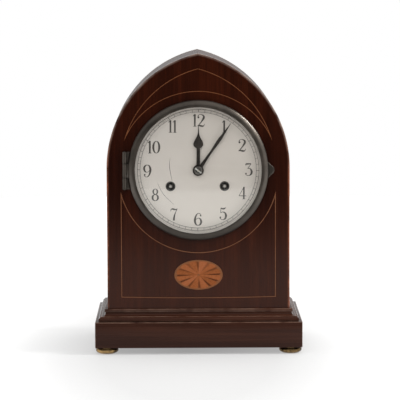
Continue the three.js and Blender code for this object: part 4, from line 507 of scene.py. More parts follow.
def circle(x, z, radius, steps):
    return arc(x, z, radius, 0, 2 * pi, steps)[:-1]


def between(p, q, r, s, t):
    """The value a share t of the way from q to r, on a curve that also heeds p and s."""
    return 0.5 * (
        2 * q + (r - p) * t + (2 * p - 5 * q + 4 * r - s) * t ** 2 + (3 * q - p - 3 * r + s) * t ** 3
    )


def flow(points, steps=5):
    """A smooth line through the points, which may carry a width as a third number."""
    ends = [points[0], *points, points[-1]]
    line = []
    for four in zip(ends, ends[1:], ends[2:], ends[3:]):
        line += [tuple(between(*values, i / steps) for values in zip(*four)) for i in range(steps)]
    return [*line, tuple(points[-1])]


quarter = arc(0, 0, 1, 0, pi / 2, 4)
print("a quarter turn in 4 steps:", [tuple(round(v, 2) for v in point) for point in quarter])

# %% Feet
ABOUT_Y, ABOUT_Z = "Y", "Z"  # dial work turns about Y, the line that points out of the dial
FOOT_X, FOOT_Y, FOOT_SIDES = 93.2, 58.2, 56
BUN = [
    (0, 0), (7.6, 0), *flow([(8.4, 0.25), (10.6, 1.5), (11.6, 3.2), (11.1, 5.0), (9.4, 6.1)], 6), (9.4, 6.6),
    (0, 6.6),
]


def turned(profile, sides, about=ABOUT_Y, at=(0, 0, 0)):
    """The closed profile of (radius, along) points swept round the axis through the point at."""
    points = []
    for radius, along in profile:
        for u, v in circle(0, 0, radius, sides):
            x, y, z = (u, along, v) if about == ABOUT_Y else (u, v, along)
            points.append((x + at[0], y + at[1], z + at[2]))
    faces = []
    for i in range(len(profile)):
        a, b = i * sides, (i + 1) % len(profile) * sides
        faces += [(a + j, a + (j + 1) % sides, b + (j + 1) % sides, b + j) for j in range(sides)]
    return mesh_of(points, faces)


def together(*meshes):
    shape = bmesh.new()
    for mesh in meshes:
        shape.from_mesh(mesh)
        bpy.data.meshes.remove(mesh)
    return worked(shape)


buns = [turned(BUN, FOOT_SIDES, ABOUT_Z, (x, y, 0)) for x in (-FOOT_X, FOOT_X) for y in (-FOOT_Y, FOOT_Y)]
fit(
    "bun_feet", together(*buns), foot_brass, "brass",
    "foot_front_left", "foot_front_right", "foot_rear_left", "foot_rear_right",
)

# %% [markdown]
# The case is a lancet: two arcs, each struck from a point beyond the middle line, meet in a point over the
# dial. The string lines of its front follow the same arcs a little further in, and a ring round the dial.

# %% The lancet
ARCH_X, ARCH_Z, ARCH_RADIUS = -25.86, 188.4, 118.36  # the right-hand arc's centre and radius
FLOOR = 44.4
ARCH_STEPS = 72


def arch_side(inset, bottom, middle=0.0):
    radius = ARCH_RADIUS - inset
    end = acos((middle - ARCH_X) / radius)
    return [(CASE_HALF - inset, bottom), *arc(ARCH_X, ARCH_Z, radius, 0, end, ARCH_STEPS)]


def mirrored(line):
    return [(-x, z) for x, z in reversed(line)]


def lancet(inset, bottom):
    right = arch_side(inset, bottom)
    return right + mirrored(right[:-1])


print("lancet:", round(max(z for _, z in lancet(0, FLOOR)), 1), "mm to its point")

# %% Lines of the inlay
DIAL_Z = 186.2
STRING_HALF, GLUE, RING_STEPS = 0.34, 0.07, 90
LEAF_INSET, LEAF_Z, LEAF_RING_Z, LEAF_RING = 14.15, ARCH_Z - 0.9, 184.4, 81.4
FIELD_INSET, FIELD_RING_Z, FIELD_RING = 14.5, 183.04, 80.84
FIELD_SILL, SILL_BOW, SILL_STEPS = 56.1, 1.0, 24  # the string along the sill was laid with a slight bow
PATERA_Z, PATERA_HALF_X, PATERA_HALF_Z, PATERA_STEPS = 79.55, 24.5, 15.2, 112


def upper_string(grow):
    """The leaf between the arch's own curve and a ring round the dial."""
    line, ring = ARCH_RADIUS - LEAF_INSET + grow, LEAF_RING - grow
    apart = hypot(ARCH_X, LEAF_Z - LEAF_RING_Z)
    along = (line ** 2 - ring ** 2 + apart ** 2) / (2 * apart)
    off = sqrt(line ** 2 - along ** 2)
    ux, uz = -ARCH_X / apart, (LEAF_RING_Z - LEAF_Z) / apart
    tip_x, tip_z = ARCH_X + ux * along - uz * off, LEAF_Z + uz * along + ux * off
    edge = arc(ARCH_X, LEAF_Z, line, asin((tip_z - LEAF_Z) / line), acos(-ARCH_X / line), ARCH_STEPS)
    low = atan2(tip_z - LEAF_RING_Z, tip_x)
    return edge + mirrored(edge[:-1]) + arc(0, LEAF_RING_Z, ring, pi - low, low, RING_STEPS)[1:-1]


def lower_string(grow):
    """The field under the dial, whose top edge is the same ring."""
    x, ring = CASE_HALF - FIELD_INSET + grow, FIELD_RING - grow
    side = acos(x / ring)
    sill = [(x * t, FIELD_SILL + SILL_BOW * t * t - grow) for t in spread(-1, 1, SILL_STEPS)]
    return sill + arc(0, FIELD_RING_Z, ring, -side, side - pi, RING_STEPS)


def oval(grow):
    half_x, half_z = PATERA_HALF_X + grow, PATERA_HALF_Z + grow
    return [(x * half_x, PATERA_Z + z * half_z) for x, z in circle(0, 0, 1, PATERA_STEPS)]


print("upper leaf:", len(upper_string(0)), "points, lower field:", len(lower_string(0)), "points")

# %% [markdown]
# Sheet work. Veneer, plates and hands are outlines with holes, sawn from sheet. They could be cut out with
# booleans. A filled curve gives the same with cleaner edges: the loops inside an outline become its holes,
# and the curve's bevel eases the arris.

# %% Sheet
def plain_mesh(obj):
    """The object's shape with all its rules worked out, as a plain mesh. The object is then removed."""
    mesh = bpy.data.meshes.new_from_object(obj.evaluated_get(bpy.context.evaluated_depsgraph_get()))
    bpy.data.objects.remove(obj)
    return mesh


def plate(loops, front, back, arris=0.0):
    """Sheet from y = front to y = back, cut to loops of (x, z) points. A loop inside another is a hole."""
    drawing = bpy.data.curves.new("drawing", "CURVE")
    drawing.dimensions, drawing.fill_mode = "2D", "BOTH"
    drawing.extrude = ((back - front) / 2 - arris) * MM
    drawing.bevel_depth, drawing.offset, drawing.bevel_resolution = arris * MM, -arris * MM, ARRIS_STEPS - 1
    for loop in loops:
        line = drawing.splines.new("POLY")
        line.points.add(len(loop) - 1)
        for point, (x, z) in zip(line.points, loop):
            point.co = (x * MM, z * MM, 0, 1)
        line.use_cyclic_u = True
    mesh = plain_mesh(in_scene("drawing", drawing))
    mesh.transform(Matrix.Translation((0, (front + back) / 2 * MM, 0)) @ Matrix.Rotation(pi / 2, 4, "X"))
    return mesh


trial = plate([circle(0, 0, 10, 32), circle(0, 0, 4, 32)], 0, 1)
print("a washer cut from sheet has", len(trial.polygons), "faces")
bpy.data.meshes.remove(trial)

# %% [markdown]
# The front is a solid ground with a thin veneer on it. The veneer is cut through for the string lines, the
# patera and the dial, so the inlay drops into real channels with a hair of dark glue round it. Its outer
# arris is eased and rubbed, and up the arch the rubbed mark carries a painted sheen of light.

# %% Channels and arris
VENEER_BACK, REBATE_BACK, PANEL_BACK = -56.5, -55.5, -47.5
REBATE_RADIUS, HOLE_RADIUS, ROUND_STEPS = 66.7, 60, 120
EASE_WIDTH, EASE_STEPS = 2.4, 4  # the arris is rubbed away further across the front than back along the side
CHANNEL = STRING_HALF + GLUE
cuts = [loop(grow) for loop in (upper_string, lower_string) for grow in (CHANNEL, -CHANNEL)]
rebate, hole = (circle(0, DIAL_Z, radius, ROUND_STEPS) for radius in (REBATE_RADIUS, HOLE_RADIUS))


def inside(v):
    """How far a point lies inside the lancet, in millimetres."""
    x, z = abs(v.co.x) / MM, v.co.z / MM
    return ARCH_RADIUS - hypot(x - ARCH_X, z - ARCH_Z) if z > ARCH_Z else CASE_HALF - x


def rounded_rim():
    """The edge of the veneer, from its flat front over the arris and round to its back."""
    arris = [
        (EASE_WIDTH * (1 - sin(a)), CASE_FRONT + (VENEER_BACK - CASE_FRONT) * (1 - cos(a)))
        for a in spread(0, pi / 2, EASE_STEPS)
    ]
    section = [*arris, (EASE_WIDTH, VENEER_BACK)]
    rings = [[(x, y, z) for x, z in lancet(inset, FLOOR)] for inset, y in section]
    count = len(rings[0])
    starts = [row * count for row in range(len(section))]
    faces = [
        (a + i, a + i + 1, b + i + 1, b + i) for a, b in zip(starts, starts[1:]) for i in range(count - 1)
    ]
    faces += [tuple(starts), tuple(a + count - 1 for a in starts)]
    return mesh_of([point for ring in rings for point in ring], faces)


print("loops cut through the veneer:", len(cuts), "for the strings, one for the patera, one for the dial")

# %% Front
WALL_MOST, SILL_LEAST, FLAT = 0.5, 0.999, 0.9999  # how squarely a wall, the sill and the front face
NEAR_RIM = 0.1


def smooth(low, high, value):
    t = min(1, max(0, (value - low) / (high - low)))
    return t * t * (3 - 2 * t)


def veneered_front():
    field = plate([lancet(EASE_WIDTH, FLOOR), *cuts, oval(GLUE), rebate], CASE_FRONT, VENEER_BACK)
    shape = bmesh.new()
    shape.from_mesh(field)
    shape.normal_update()
    wall = [
        face for face in shape.faces if abs(face.normal.y) < WALL_MOST and abs(face.normal.z) < SILL_LEAST
        and all(inside(v) < EASE_WIDTH + NEAR_RIM for v in face.verts)
    ]
    bmesh.ops.delete(shape, geom=wall, context="FACES")
    mesh = cleaned(together(worked(shape, field), rounded_rim()))
    # the mark fades in from the arris: bare wood low down, a painted sheen up the arch
    rub = mesh.attributes.new("rub", "FLOAT", "CORNER")
    for corner, loop in zip(rub.data, mesh.loops):
        corner.value = 1 - smooth(0, EASE_WIDTH, inside(mesh.vertices[loop.vertex_index]))
    return mesh


def crisp_front(mesh):
    """Keeps the flat front even in the light where it meets its rounded arris."""
    kinds = {}
    for face in mesh.polygons:
        for key in face.edge_keys:
            kinds.setdefault(key, set()).add(face.normal.y < -FLAT)
    for edge in mesh.edges:
        if len(kinds[edge.key]) == 2:
            edge.use_edge_sharp = True


crisp_front(fit("front_veneer", veneered_front(), front_wood, "mahogany", "front_panel").data)
ground = together(
    plate([lancet(0, FLOOR), rebate], VENEER_BACK, REBATE_BACK),
    plate([lancet(0, FLOOR), hole], REBATE_BACK, PANEL_BACK),
)
fit("front_ground", ground, front_wood, "mahogany")

# %% [markdown]
# The sides are thin boards bent over formers, so their grain runs up the case and on round the arch. The back
# board has a lancet opening, and the door is the same lancet a little smaller.

# %% Sides
SIDE_THICKNESS, SIDE_BACK, APEX_GAP = 9, 56, 0.03


def bent_side(sign):
    outer, inner = (arch_side(inset, FLOOR, APEX_GAP) for inset in (0, SIDE_THICKNESS))
    mesh = plate([[(sign * x, z) for x, z in outer + inner[::-1]]], PANEL_BACK, SIDE_BACK)
    grain = mesh.attributes.new("grain", "FLOAT_VECTOR", "POINT")
    for point, place in zip(mesh.vertices, grain.data):
        x, z = abs(point.co.x) - ARCH_X * MM, point.co.z - ARCH_Z * MM
        along = ARCH_RADIUS * MM * atan2(z, x) if z > 0 else z
        place.vector = (hypot(x, max(0, z)), point.co.y, along + sign)
    return mesh


for side, sign in (("left", -1), ("right", 1)):
    fit(f"bent_side_{side}", bent_side(sign), side_wood, "mahogany", f"side_{side}")

# %% Back and door
BOARD_BACK, BOARD_EASE, DOOR_INSET, DOOR_SILL, DOOR_GAP = 64, 0.5, 17, 60.4, 0.6
WORN_LEAST, WORN_MOST = 0.2, 0.97  # how squarely an eased arris can face along Y, beside the flat faces


def worn(mesh):
    """Marks the eased arrises, where hands and dusters wear through the polish."""
    rub = mesh.attributes.new("rub", "FLOAT", "CORNER")
    for face in mesh.polygons:
        if WORN_LEAST < abs(face.normal.y) < WORN_MOST:
            for corner in face.loop_indices:
                rub.data[corner].value = 1
    return mesh


board = plate([lancet(0, FLOOR), lancet(DOOR_INSET, DOOR_SILL)], SIDE_BACK, BOARD_BACK, BOARD_EASE)
fit("back_frame", worn(board), pine, "pine", "back_board")
door = plate([lancet(DOOR_INSET + DOOR_GAP, DOOR_SILL + DOOR_GAP)], SIDE_BACK, BOARD_BACK, BOARD_EASE)
fit("door_panel", worn(door), pine, "pine", "back_door", body="back_door")

# %% [markdown]
# The inlay. Thin boxwood string follows the two leaves of the design. The patera is a fan of thin petals.
# Before they are laid, the edge of each is dipped in hot sand, which scorches it and makes the flat fan look
# carved. Here each petal carries a scorch value that is strong along one edge and near the tip.

# %% Woods of the inlay
BOXWOOD = ((0.11, 0.042, 0.019), (0.175, 0.07, 0.033), (0.24, 0.104, 0.052))
BORDER = ((0.15, 0.056, 0.022), (0.2, 0.076, 0.03), (0.25, 0.096, 0.04))
BARE_BOXWOOD = (0.5, 0.35, 0.2)
STRING_HEIGHTS = [(150, 1), (215, (0.86, 0.74, 0.6))]
PETAL_TONES = [(0.25, (0.215, 0.062, 0.017)), (0.5, (0.315, 0.096, 0.032)), (0.75, (0.36, 0.118, 0.052))]
SCORCH_BROWN = (0.05, 0.011, 0.003)
PETAL_GRAIN = (700, 90, 700)


def petal_wood():
    finish, tree, skin = new_finish("sand_shaded_petals")
    lines = noise(tree, space(tree, PETAL_GRAIN), detail=5)
    tone = plus(tree, times(tree, lines, 0.7), times(tree, stored(tree, "shade"), 0.24))
    colour = blend(tree, stored(tree, "scorch"), ramp(tree, tone, PETAL_TONES), SCORCH_BROWN)
    gloss = ramp(tree, lines, [(0.3, 0.34), (0.7, 0.46)])
    fed(tree, skin, Base_Color=colour, Roughness=gloss, Specular_IOR_Level=0.08)
    return finish


boxwood = wood("boxwood", "X", BOXWOOD, BARE_BOXWOOD, 0.3, 0.02, 0.2, heights=STRING_HEIGHTS)
border_wood = wood("border_veneer", "X", BORDER, BARE_BOXWOOD, 0.3, 0.02, 0.2)
petal_finish = petal_wood()
print("woods of the inlay:", boxwood.name, border_wood.name, petal_finish.name)

# %% Inlay
PROUD = 0.03  # inlay stands this far above the veneer after years of shrinking
STRING_BACK = -56.65
PETALS, PETAL_RINGS, PETAL_LINES = 12, 14, 12
PETAL_START, PETAL_END, PETAL_ROUND, PETAL_SEAM = 0.06, 0.85, 0.075, 0.012
SCORCHED = [1, 0.8, 0.5, 0.75, 0.5, 0.65, 1, 1, 0.8, 0.85, 1, 1]  # no two dips in the sand were alike
SCORCH_MOST, FAR_EDGE = 0.95, 0.8


def scorch_at(petal, out, across):
    burn = smooth(0.32, 0.04, across) * smooth(0.02, 0.6, out) * SCORCHED[petal]
    beyond = smooth(0.9, 1.0, across) * smooth(0.15, 0.75, out) * SCORCHED[(petal + 1) % PETALS]
    return SCORCH_MOST * min(1, burn + FAR_EDGE * beyond)


def petals():
    points, faces, scorch, shade = [], [], [], []
    row = PETAL_LINES + 1
    for petal in range(PETALS):
        first = len(points)
        for out in spread(0, 1, PETAL_RINGS):
            for across in spread(0, 1, PETAL_LINES):
                reach = PETAL_END + PETAL_ROUND * sqrt(max(0, 1 - (2 * across - 1) ** 2))
                share = PETAL_START + (reach - PETAL_START) * out
                turn = (petal + PETAL_SEAM + across * (1 - 2 * PETAL_SEAM)) * 2 * pi / PETALS
                x, z = share * PATERA_HALF_X * cos(turn), share * PATERA_HALF_Z * sin(turn)
                points.append((x, CASE_FRONT - PROUD, PATERA_Z + z))
                scorch.append(scorch_at(petal, out, across))
                shade.append((petal * 7 % 5) / 4)
        corners = [first + ring * row + line for ring in range(PETAL_RINGS) for line in range(PETAL_LINES)]
        faces += [(a, a + 1, a + row + 1, a + row) for a in corners]
    mesh = mesh_of(points, faces)
    for name, values in (("scorch", scorch), ("shade", shade)):
        mesh.attributes.new(name, "FLOAT", "POINT").data.foreach_set("value", values)
    return mesh


for place, loop in (("upper", upper_string), ("lower", lower_string)):
    line = plate([loop(STRING_HALF), loop(-STRING_HALF)], CASE_FRONT - PROUD, STRING_BACK)
    fit(f"string_{place}", line, boxwood, "boxwood", f"stringing_{place}")
fit("patera_border", plate([oval(0)], CASE_FRONT, STRING_BACK), border_wood, "boxwood", "patera")
fit("patera_petals", petals(), petal_finish, "boxwood")

# %% [markdown]
# The bezel is a brass ring turned with a plain band, a swelling and a flat lip that holds the glass. It opens
# on a small hinge at the left so that the clock can be wound, by a thumb tab at the right. The glass is
# domed like a watch glass, and a thin silvered sight ring slopes from it down to the dial.

# %% Bezel
DIAL_CENTRE, BEZEL_SIDES = (0, 0, DIAL_Z), 180
PLATE_FACE, SEAT = -58.5, -57.8
BEZEL = [
    (67.8, SEAT), (70.8, SEAT), (71, -58.0), (71, -58.5), (70.95, -58.7),
    *flow([
        (70.9, -59.4), (70.85, -61.0), (70.5, -62.1), (69.9, -62.8), (68.9, -63.6), (67.8, -64.3),
        (66.8, -64.75),
    ]),
    (66.0, -64.93), (63.95, -64.95), (63.85, -64.85), (63.85, -63.0), (64.0, -62.9), (67.8, -62.9),
]
HINGE_X, HINGE_Y, HINGE_LOW, HINGE_HIGH = -74.2, -61.1, 167.2, 205.2
KNUCKLE_RADIUS, KNUCKLE_SIDES, KNUCKLE_EASE = 2.3, 28, 0.3
MIDDLE_HALF, RUN = 7, 0.3
MIDDLE_LOW, MIDDLE_HIGH = DIAL_Z - MIDDLE_HALF, DIAL_Z + MIDDLE_HALF
ARM_HALF, ARM_END, ARM_SHORT, ARM_EASE = 0.8, -69.6, 0.3, 0.2


def on_hinge(profile):
    return turned(profile, KNUCKLE_SIDES, ABOUT_Z, (HINGE_X, HINGE_Y, 0))


def knuckle(low, high):
    r, soft = KNUCKLE_RADIUS, KNUCKLE_EASE
    half = [(0, 0), (r - soft, 0), (r, soft)]
    return on_hinge([(x, low + z) for x, z in half] + [(x, high - z) for x, z in reversed(half)])


def block(low, high, arris):
    shape = bmesh.new()
    bmesh.ops.create_cube(shape, size=1)
    for corner in shape.verts:
        corner.co = Vector([(a if c < 0 else b) * MM for c, a, b in zip(corner.co, low, high)])
    eased(shape, shape.edges[:], arris)
    return worked(shape)


arm = block(
    (HINGE_X, HINGE_Y - ARM_HALF, MIDDLE_LOW + ARM_SHORT),
    (ARM_END, HINGE_Y + ARM_HALF, MIDDLE_HIGH - ARM_SHORT), ARM_EASE,
)
ring = together(turned(BEZEL, BEZEL_SIDES, at=DIAL_CENTRE), arm, knuckle(MIDDLE_LOW, MIDDLE_HIGH))
fit("bezel", ring, bezel_brass, "bezel_brass", "bezel_ring", body="bezel")

# %% Hinge
LEAF_EDGE, LEAF_HALF, LEAF_EASE, LEAF_STEPS, WEB_IN = 71.35, 19, 0.15, 24, 0.1
PIN_END = [(0, -0.7), (0.7, -0.6), (1.2, -0.1), (1.2, 0.1), (0.9, 0.1)]
left, right = HINGE_X - KNUCKLE_RADIUS, HINGE_X + KNUCKLE_RADIUS
leaf_angle = asin(LEAF_HALF / LEAF_EDGE)
beside = arc(0, DIAL_Z, LEAF_EDGE, pi - leaf_angle, pi + leaf_angle, LEAF_STEPS)
leaf = [plate([[(left, HINGE_HIGH), *beside, (left, HINGE_LOW)]], PLATE_FACE, SEAT, LEAF_EASE)]
for low, high in ((HINGE_LOW, MIDDLE_LOW - RUN), (MIDDLE_HIGH + RUN, HINGE_HIGH)):
    web = block((left + WEB_IN, HINGE_Y, low), (right - WEB_IN, SEAT - WEB_IN, high), LEAF_EASE)
    leaf += [knuckle(low, high), web]
fit("hinge_leaf", together(*leaf), bezel_brass, "bezel_brass", "bezel_hinge_block")
pin = [(r, HINGE_LOW + z) for r, z in PIN_END] + [(r, HINGE_HIGH - z) for r, z in reversed(PIN_END)]
fit("hinge_pin", on_hinge(pin), bezel_brass, "bezel_brass", "bezel_hinge_pin")

# %% Thumb tab and glass
TAB_FRONT, TAB_EASE = -59.4, 0.35
upper = flow([(70.7, 8.0), (72.0, 6.7), (73.2, 5.2), (74.6, 4.2), (75.9, 2.9), (76.7, 1.3), (76.9, 0)])
tab = [(x, DIAL_Z + z) for x, z in upper + [(x, -z) for x, z in reversed(upper[:-1])]]
thumb = plate([tab], TAB_FRONT, SEAT, TAB_EASE)
fit("thumb_tab", thumb, bezel_brass, "bezel_brass", "bezel_tab", body="bezel")

RIM, RIM_FACE, GLASS_THICKNESS, GLASS_RISE, GLASS_FLAT = 67.5, -62.6, 1.6, 5.6, 0.92
GLASS_SIDES, GLASS_STEPS = 96, 26
outside = [
    (RIM * s, RIM_FACE - GLASS_RISE * (1 - min(1, s / GLASS_FLAT) ** 2)) for s in spread(0, 1, GLASS_STEPS)
]
dome = outside + [(r, y + GLASS_THICKNESS) for r, y in reversed(outside)]
fit("domed_glass", turned(dome, GLASS_SIDES, at=DIAL_CENTRE), glass, "glass", "bezel_glass", body="bezel")

# %% [markdown]
# Silvering is rubbed on by hand, so the dial keeps a faint grain and soft clouds. The plate is cut for the
# hands and for the two winding squares, and each winding hole is bushed with a dark collet.

# %% Silvering
RUBBED, CLOUDS, SPOTS = (260, 900, 3200), (16, 16, 16), (420, 420, 420)  # waves in a metre
SILVER = [(0.3, (0.63, 0.569, 0.53)), (0.7, (0.695, 0.63, 0.588))]
WARMER = [(0, 1), (0.65, (0.94, 0.93, 0.915))]  # from left to right
# paler silver for painted light low on the dial, brown for spots, and darker silver for painted shade on the
# sight ring
SILVER_PAINTED_LIGHT, SPOT_BROWN, SILVER_PAINTED_SHADE = (0.83, 0.763, 0.71), (0.3, 0.26, 0.21), (0.2, 0.18, 0.16)


def silvering(name, painted_shade=0.0):
    finish, tree, skin = new_finish(name)
    grain = noise(tree, space(tree, RUBBED), detail=3)
    clouds = noise(tree, space(tree, CLOUDS), detail=6, rough=0.6)
    spots = mask(tree, noise(tree, space(tree, SPOTS), detail=2), 0.7, 0.78)
    down = times(tree, axis_of(tree, space(tree, (1, 1, 8), DIAL_CENTRE), "Z"), -1)
    across = axis_of(tree, space(tree, (10, 1, 1), (-50, 0, 0)), "X")
    colour = blend(tree, 1.0, ramp(tree, clouds, SILVER), ramp(tree, across, WARMER), "MULTIPLY")
    # painted light: the lower part of the dial is blended toward paler silver, where light from the floor
    # falls on it
    colour = blend(tree, times(tree, mask(tree, down, 0, 0.4), 0.65), colour, SILVER_PAINTED_LIGHT)
    colour = blend(tree, times(tree, spots, 0.25), colour, SPOT_BROWN)
    # painted shade: the sight ring under the bezel's lip is blended toward darker silver
    if painted_shade:
        colour = blend(tree, times(tree, clouds, painted_shade), colour, SILVER_PAINTED_SHADE)
    gloss = ramp(tree, grain, [(0.3, 0.42), (0.7, 0.56)])
    fed(tree, skin, Base_Color=colour, Metallic=0.1, Roughness=gloss, Normal=bump(tree, grain, 0.008, 0.35))
    return finish


silver, ring_silver = silvering("silvering"), silvering("silvering_painted_shade", 0.55)
print("silvering:", silver.name, ring_silver.name)

# %% Dial
DIAL_RADIUS, DIAL_FACE, DIAL_BACK, DIAL_EASE = 66.4, -57.2, -55.8, 0.12
CENTRE_HOLE, WIND_HOLE, HOLE_STEPS = 4.8, 4.6, 40
SQUARES = [(26.6, 169.9), (-28.0, 169.9)]
POST_RADIUS, POST_RING, POST_LAP, POST_SIDES = 2, 52, 0.1, 20
SIGHT = [(62.6, -58.9), (67.4, -60.7), (67.4, -59.9), (62.7, -58.2)]
COLLET = [
    (3.6, -57.0), (3.6, -57.45), (3.9, -57.75), (4.6, -57.75), (4.95, -57.45), (4.95, -57.22), (4.5, -57.22),
    (4.5, -57.0),
]
COLLET_SIDES = 48
outline = circle(0, DIAL_Z, DIAL_RADIUS, ROUND_STEPS)
holes = [circle(x, z, WIND_HOLE, HOLE_STEPS) for x, z in SQUARES]
holes.insert(0, circle(0, DIAL_Z, CENTRE_HOLE, HOLE_STEPS))
post_front = DIAL_BACK - POST_LAP
post = [(0, post_front), (POST_RADIUS, post_front), (POST_RADIUS, PANEL_BACK), (0, PANEL_BACK)]
posts = [turned(post, POST_SIDES, at=(x, 0, z)) for x, z in arc(0, DIAL_Z, POST_RING, pi / 4, 7 * pi / 4, 3)]
dial = together(plate([outline, *holes], DIAL_FACE, DIAL_BACK, DIAL_EASE), *posts)
fit("dial", dial, silver, "silvered_brass", "dial_plate")
sight = turned(SIGHT, BEZEL_SIDES, at=DIAL_CENTRE)
fit("sloping_ring", sight, ring_silver, "silvered_brass", "sight_ring", body="bezel")
collets = together(*(turned(COLLET, COLLET_SIDES, at=(x, 0, z)) for x, z in SQUARES))
fit("winding_collets", collets, collet_steel, "brass")

# %% [markdown]
# The hour figures are drawn with a pen that swells and thins, with a ball at the end of each curl. Each
# stroke here is a smooth line of points that carry half the pen's width, turned into a thin ribbon of wax.

# %% Strokes of the figures
BALL = "ball"
SIX = [
    [(.24, .82, .02), (.16, .95, .022), (.02, .985, .02), (-.14, .86, .045), (-.25, .55, .07),
     (-.25, .3, .075), (-.16, .08, .05), (0, .015, .02), (.16, .08, .05), (.25, .3, .07), (.17, .53, .05),
     (.02, .6, .02), (-.13, .53, .02), (-.24, .36, .022)],
    (BALL, .2, .81, .07),
]
HAIR, SWELL, RING_POINTS = .02, 1.4, 32


def ring_stroke(x, y, half, tall, thick):
    return [
        (x + half * cos(a), y + tall * sin(a), HAIR + (thick - HAIR) * abs(cos(a)) ** SWELL)
        for a in spread(0, 2 * pi, RING_POINTS)
    ]


FIGURES = {
    "0": [ring_stroke(0, .5, .24, .48, .075)],
    "1": [
        [(0, 0, .062), (0, 1, .062)], [(-.17, .83, .018), (-.08, .9, .03), (0, .985, .05)],
        [(-.14, .015, .016), (.14, .015, .016)],
    ],
    "2": [
        [(-.25, .76, .02), (-.2, .92, .025), (-.02, .985, .02), (.2, .88, .06), (.22, .7, .075),
         (.06, .42, .045), (-.12, .2, .03), (-.26, .03, .02)],
        [(-.27, .04, .03), (-.15, .09, .05), (.02, .055, .065), (.16, .04, .05), (.26, .12, .025),
         (.29, .24, .014)],
        (BALL, -.2, .745, .08),
    ],
    "3": [
        [(-.22, .82, .016), (-.2, .94, .05), (0, .955, .05), (.2, .965, .03)],
        [(.2, .96, .022), (-.08, .575, .022)],
        [(-.08, .575, .018), (.1, .585, .03), (.245, .37, .075), (.2, .12, .06), (.02, .015, .02),
         (-.14, .03, .022), (-.26, .15, .02)],
        (BALL, -.21, .17, .065),
    ],
    "4": [
        [(.1, 0, .058), (.1, 1, .058)], [(.1, .99, .02), (-.29, .27, .02)],
        [(-.3, .27, .024), (.3, .27, .024)], [(-.03, .015, .015), (.23, .015, .015)],
    ],
    "5": [
        [(-.17, .98, .02), (-.19, .54, .02)],
        [(-.17, .95, .035), (-.05, .9, .05), (.1, .91, .05), (.24, 1, .014)],
        [(-.19, .55, .02), (-.05, .635, .022), (.15, .57, .05), (.245, .34, .075), (.17, .09, .055),
         (0, .015, .02), (-.15, .04, .022), (-.26, .16, .02)],
        (BALL, -.21, .19, .07),
    ],
    "6": SIX,
    "7": [
        [(-.27, .76, .014), (-.25, .9, .025), (-.13, .96, .05), (.03, .92, .055), (.17, .91, .035),
         (.26, 1, .014)],
        [(.26, .99, .014), (.12, .68, .028), (.02, .36, .055), (-.02, .02, .07)],
    ],
    "8": [ring_stroke(0, .755, .17, .215, .055), ring_stroke(0, .27, .22, .25, .07)],
    "9": [(BALL, -s[1], 1 - s[2], s[3]) if s[0] == BALL else [(-x, 1 - y, w) for x, y, w in s] for s in SIX],
}
print("strokes in each figure:", {digit: len(strokes) for digit, strokes in FIGURES.items()})

# %% Pen
PEN, BALL_STEPS = 1.12, 20  # how much the pen is pressed


def ribbon(line, swell=1.0):
    """Left and right edges of a pen stroke, as one strip of faces."""
    edges = []
    for i, (x, y, half) in enumerate(line):
        (ax, ay, _), (bx, by, _) = line[max(0, i - 1)], line[min(len(line) - 1, i + 1)]
        length = hypot(bx - ax, by - ay) or 1
        u, v = (by - ay) / length * half * swell, (bx - ax) / length * half * swell
        edges += [(x - u, y + v), (x + u, y - v)]
    return edges, [(i, i + 1, i + 3, i + 2) for i in range(0, len(edges) - 3, 2)]


def gathered(patches):
    """Patches of points and faces, put together as one list of points and one of faces."""
    points, faces = [], []
    for edge, patch in patches:
        faces += [tuple(i + len(points) for i in face) for face in patch]
        points += edge
    return points, faces


def drawn(stroke):
    if stroke[0] == BALL:
        return circle(*stroke[1:], BALL_STEPS), [tuple(range(BALL_STEPS))]
    return ribbon(flow(stroke) if len(stroke) > 2 else stroke, PEN)


print("points in the strokes of the 1:", [len(drawn(stroke)[0]) for stroke in FIGURES["1"]])

# %% Figures
PAIRS = {"10": (-.33, .19), "11": (-.19, .17), "12": (-.33, .16)}
FIGURE_HEIGHT, FIGURE_RING, DIAL_TURN = 12.5, 50.8, radians(0.6)
INK_PROUD = 0.03
# the painter's eye was not a dividing plate: how far each figure sits from its true place
ASTRAY = {
    1: (.5, .2), 3: (.1, 1), 4: (1.1, 2.5), 6: (.3, .8), 7: (1.3, -1.3), 8: (.8, .1), 9: (-.7, -1.2),
    10: (-.8, -2.4), 11: (-.5, 0), 12: (.4, -.5),
}


def about_centre(x, z, turn):
    """A point given from the dial's centre, turned clockwise about it."""
    return x * cos(turn) + z * sin(turn), DIAL_Z - x * sin(turn) + z * cos(turn)


def on_dial(x, z, lift=INK_PROUD):
    """A point of the dial's print, with the print's small turn."""
    x, z = about_centre(x, z, DIAL_TURN)
    return x, DIAL_FACE - lift, z


def figure(hour, digit, shift):
    angle, (aside, above) = hour * pi / 6, ASTRAY.get(hour, (0, 0))
    edge, patch = gathered(drawn(stroke) for stroke in FIGURES[digit])
    middle_x, middle_z = FIGURE_RING * sin(angle) + aside, FIGURE_RING * cos(angle) + above
    return [
        on_dial(middle_x + (x + shift) * FIGURE_HEIGHT, middle_z + (y - 0.5) * FIGURE_HEIGHT) for x, y in edge
    ], patch


ink = metal("black_wax", ((0.05, 0.041, 0.036), (0.095, 0.079, 0.07)), (0.4, 0.6), 0.0, 150)
hours = [
    figure(hour, digit, shift) for hour in range(1, 13)
    for digit, shift in zip(str(hour), PAIRS.get(str(hour), (0,)))
]
fit("hour_figures", mesh_of(*gathered(hours)), ink, "silvered_brass")

# %% [markdown]
# The minute track is the same tick sixty times between two hairlines, which is work for a rule and not for
# the hand: a Geometry Nodes tree sets one tick on each point of a circle, turns it outward, and makes every
# fifth one bolder. The engraver did it with a dividing plate.

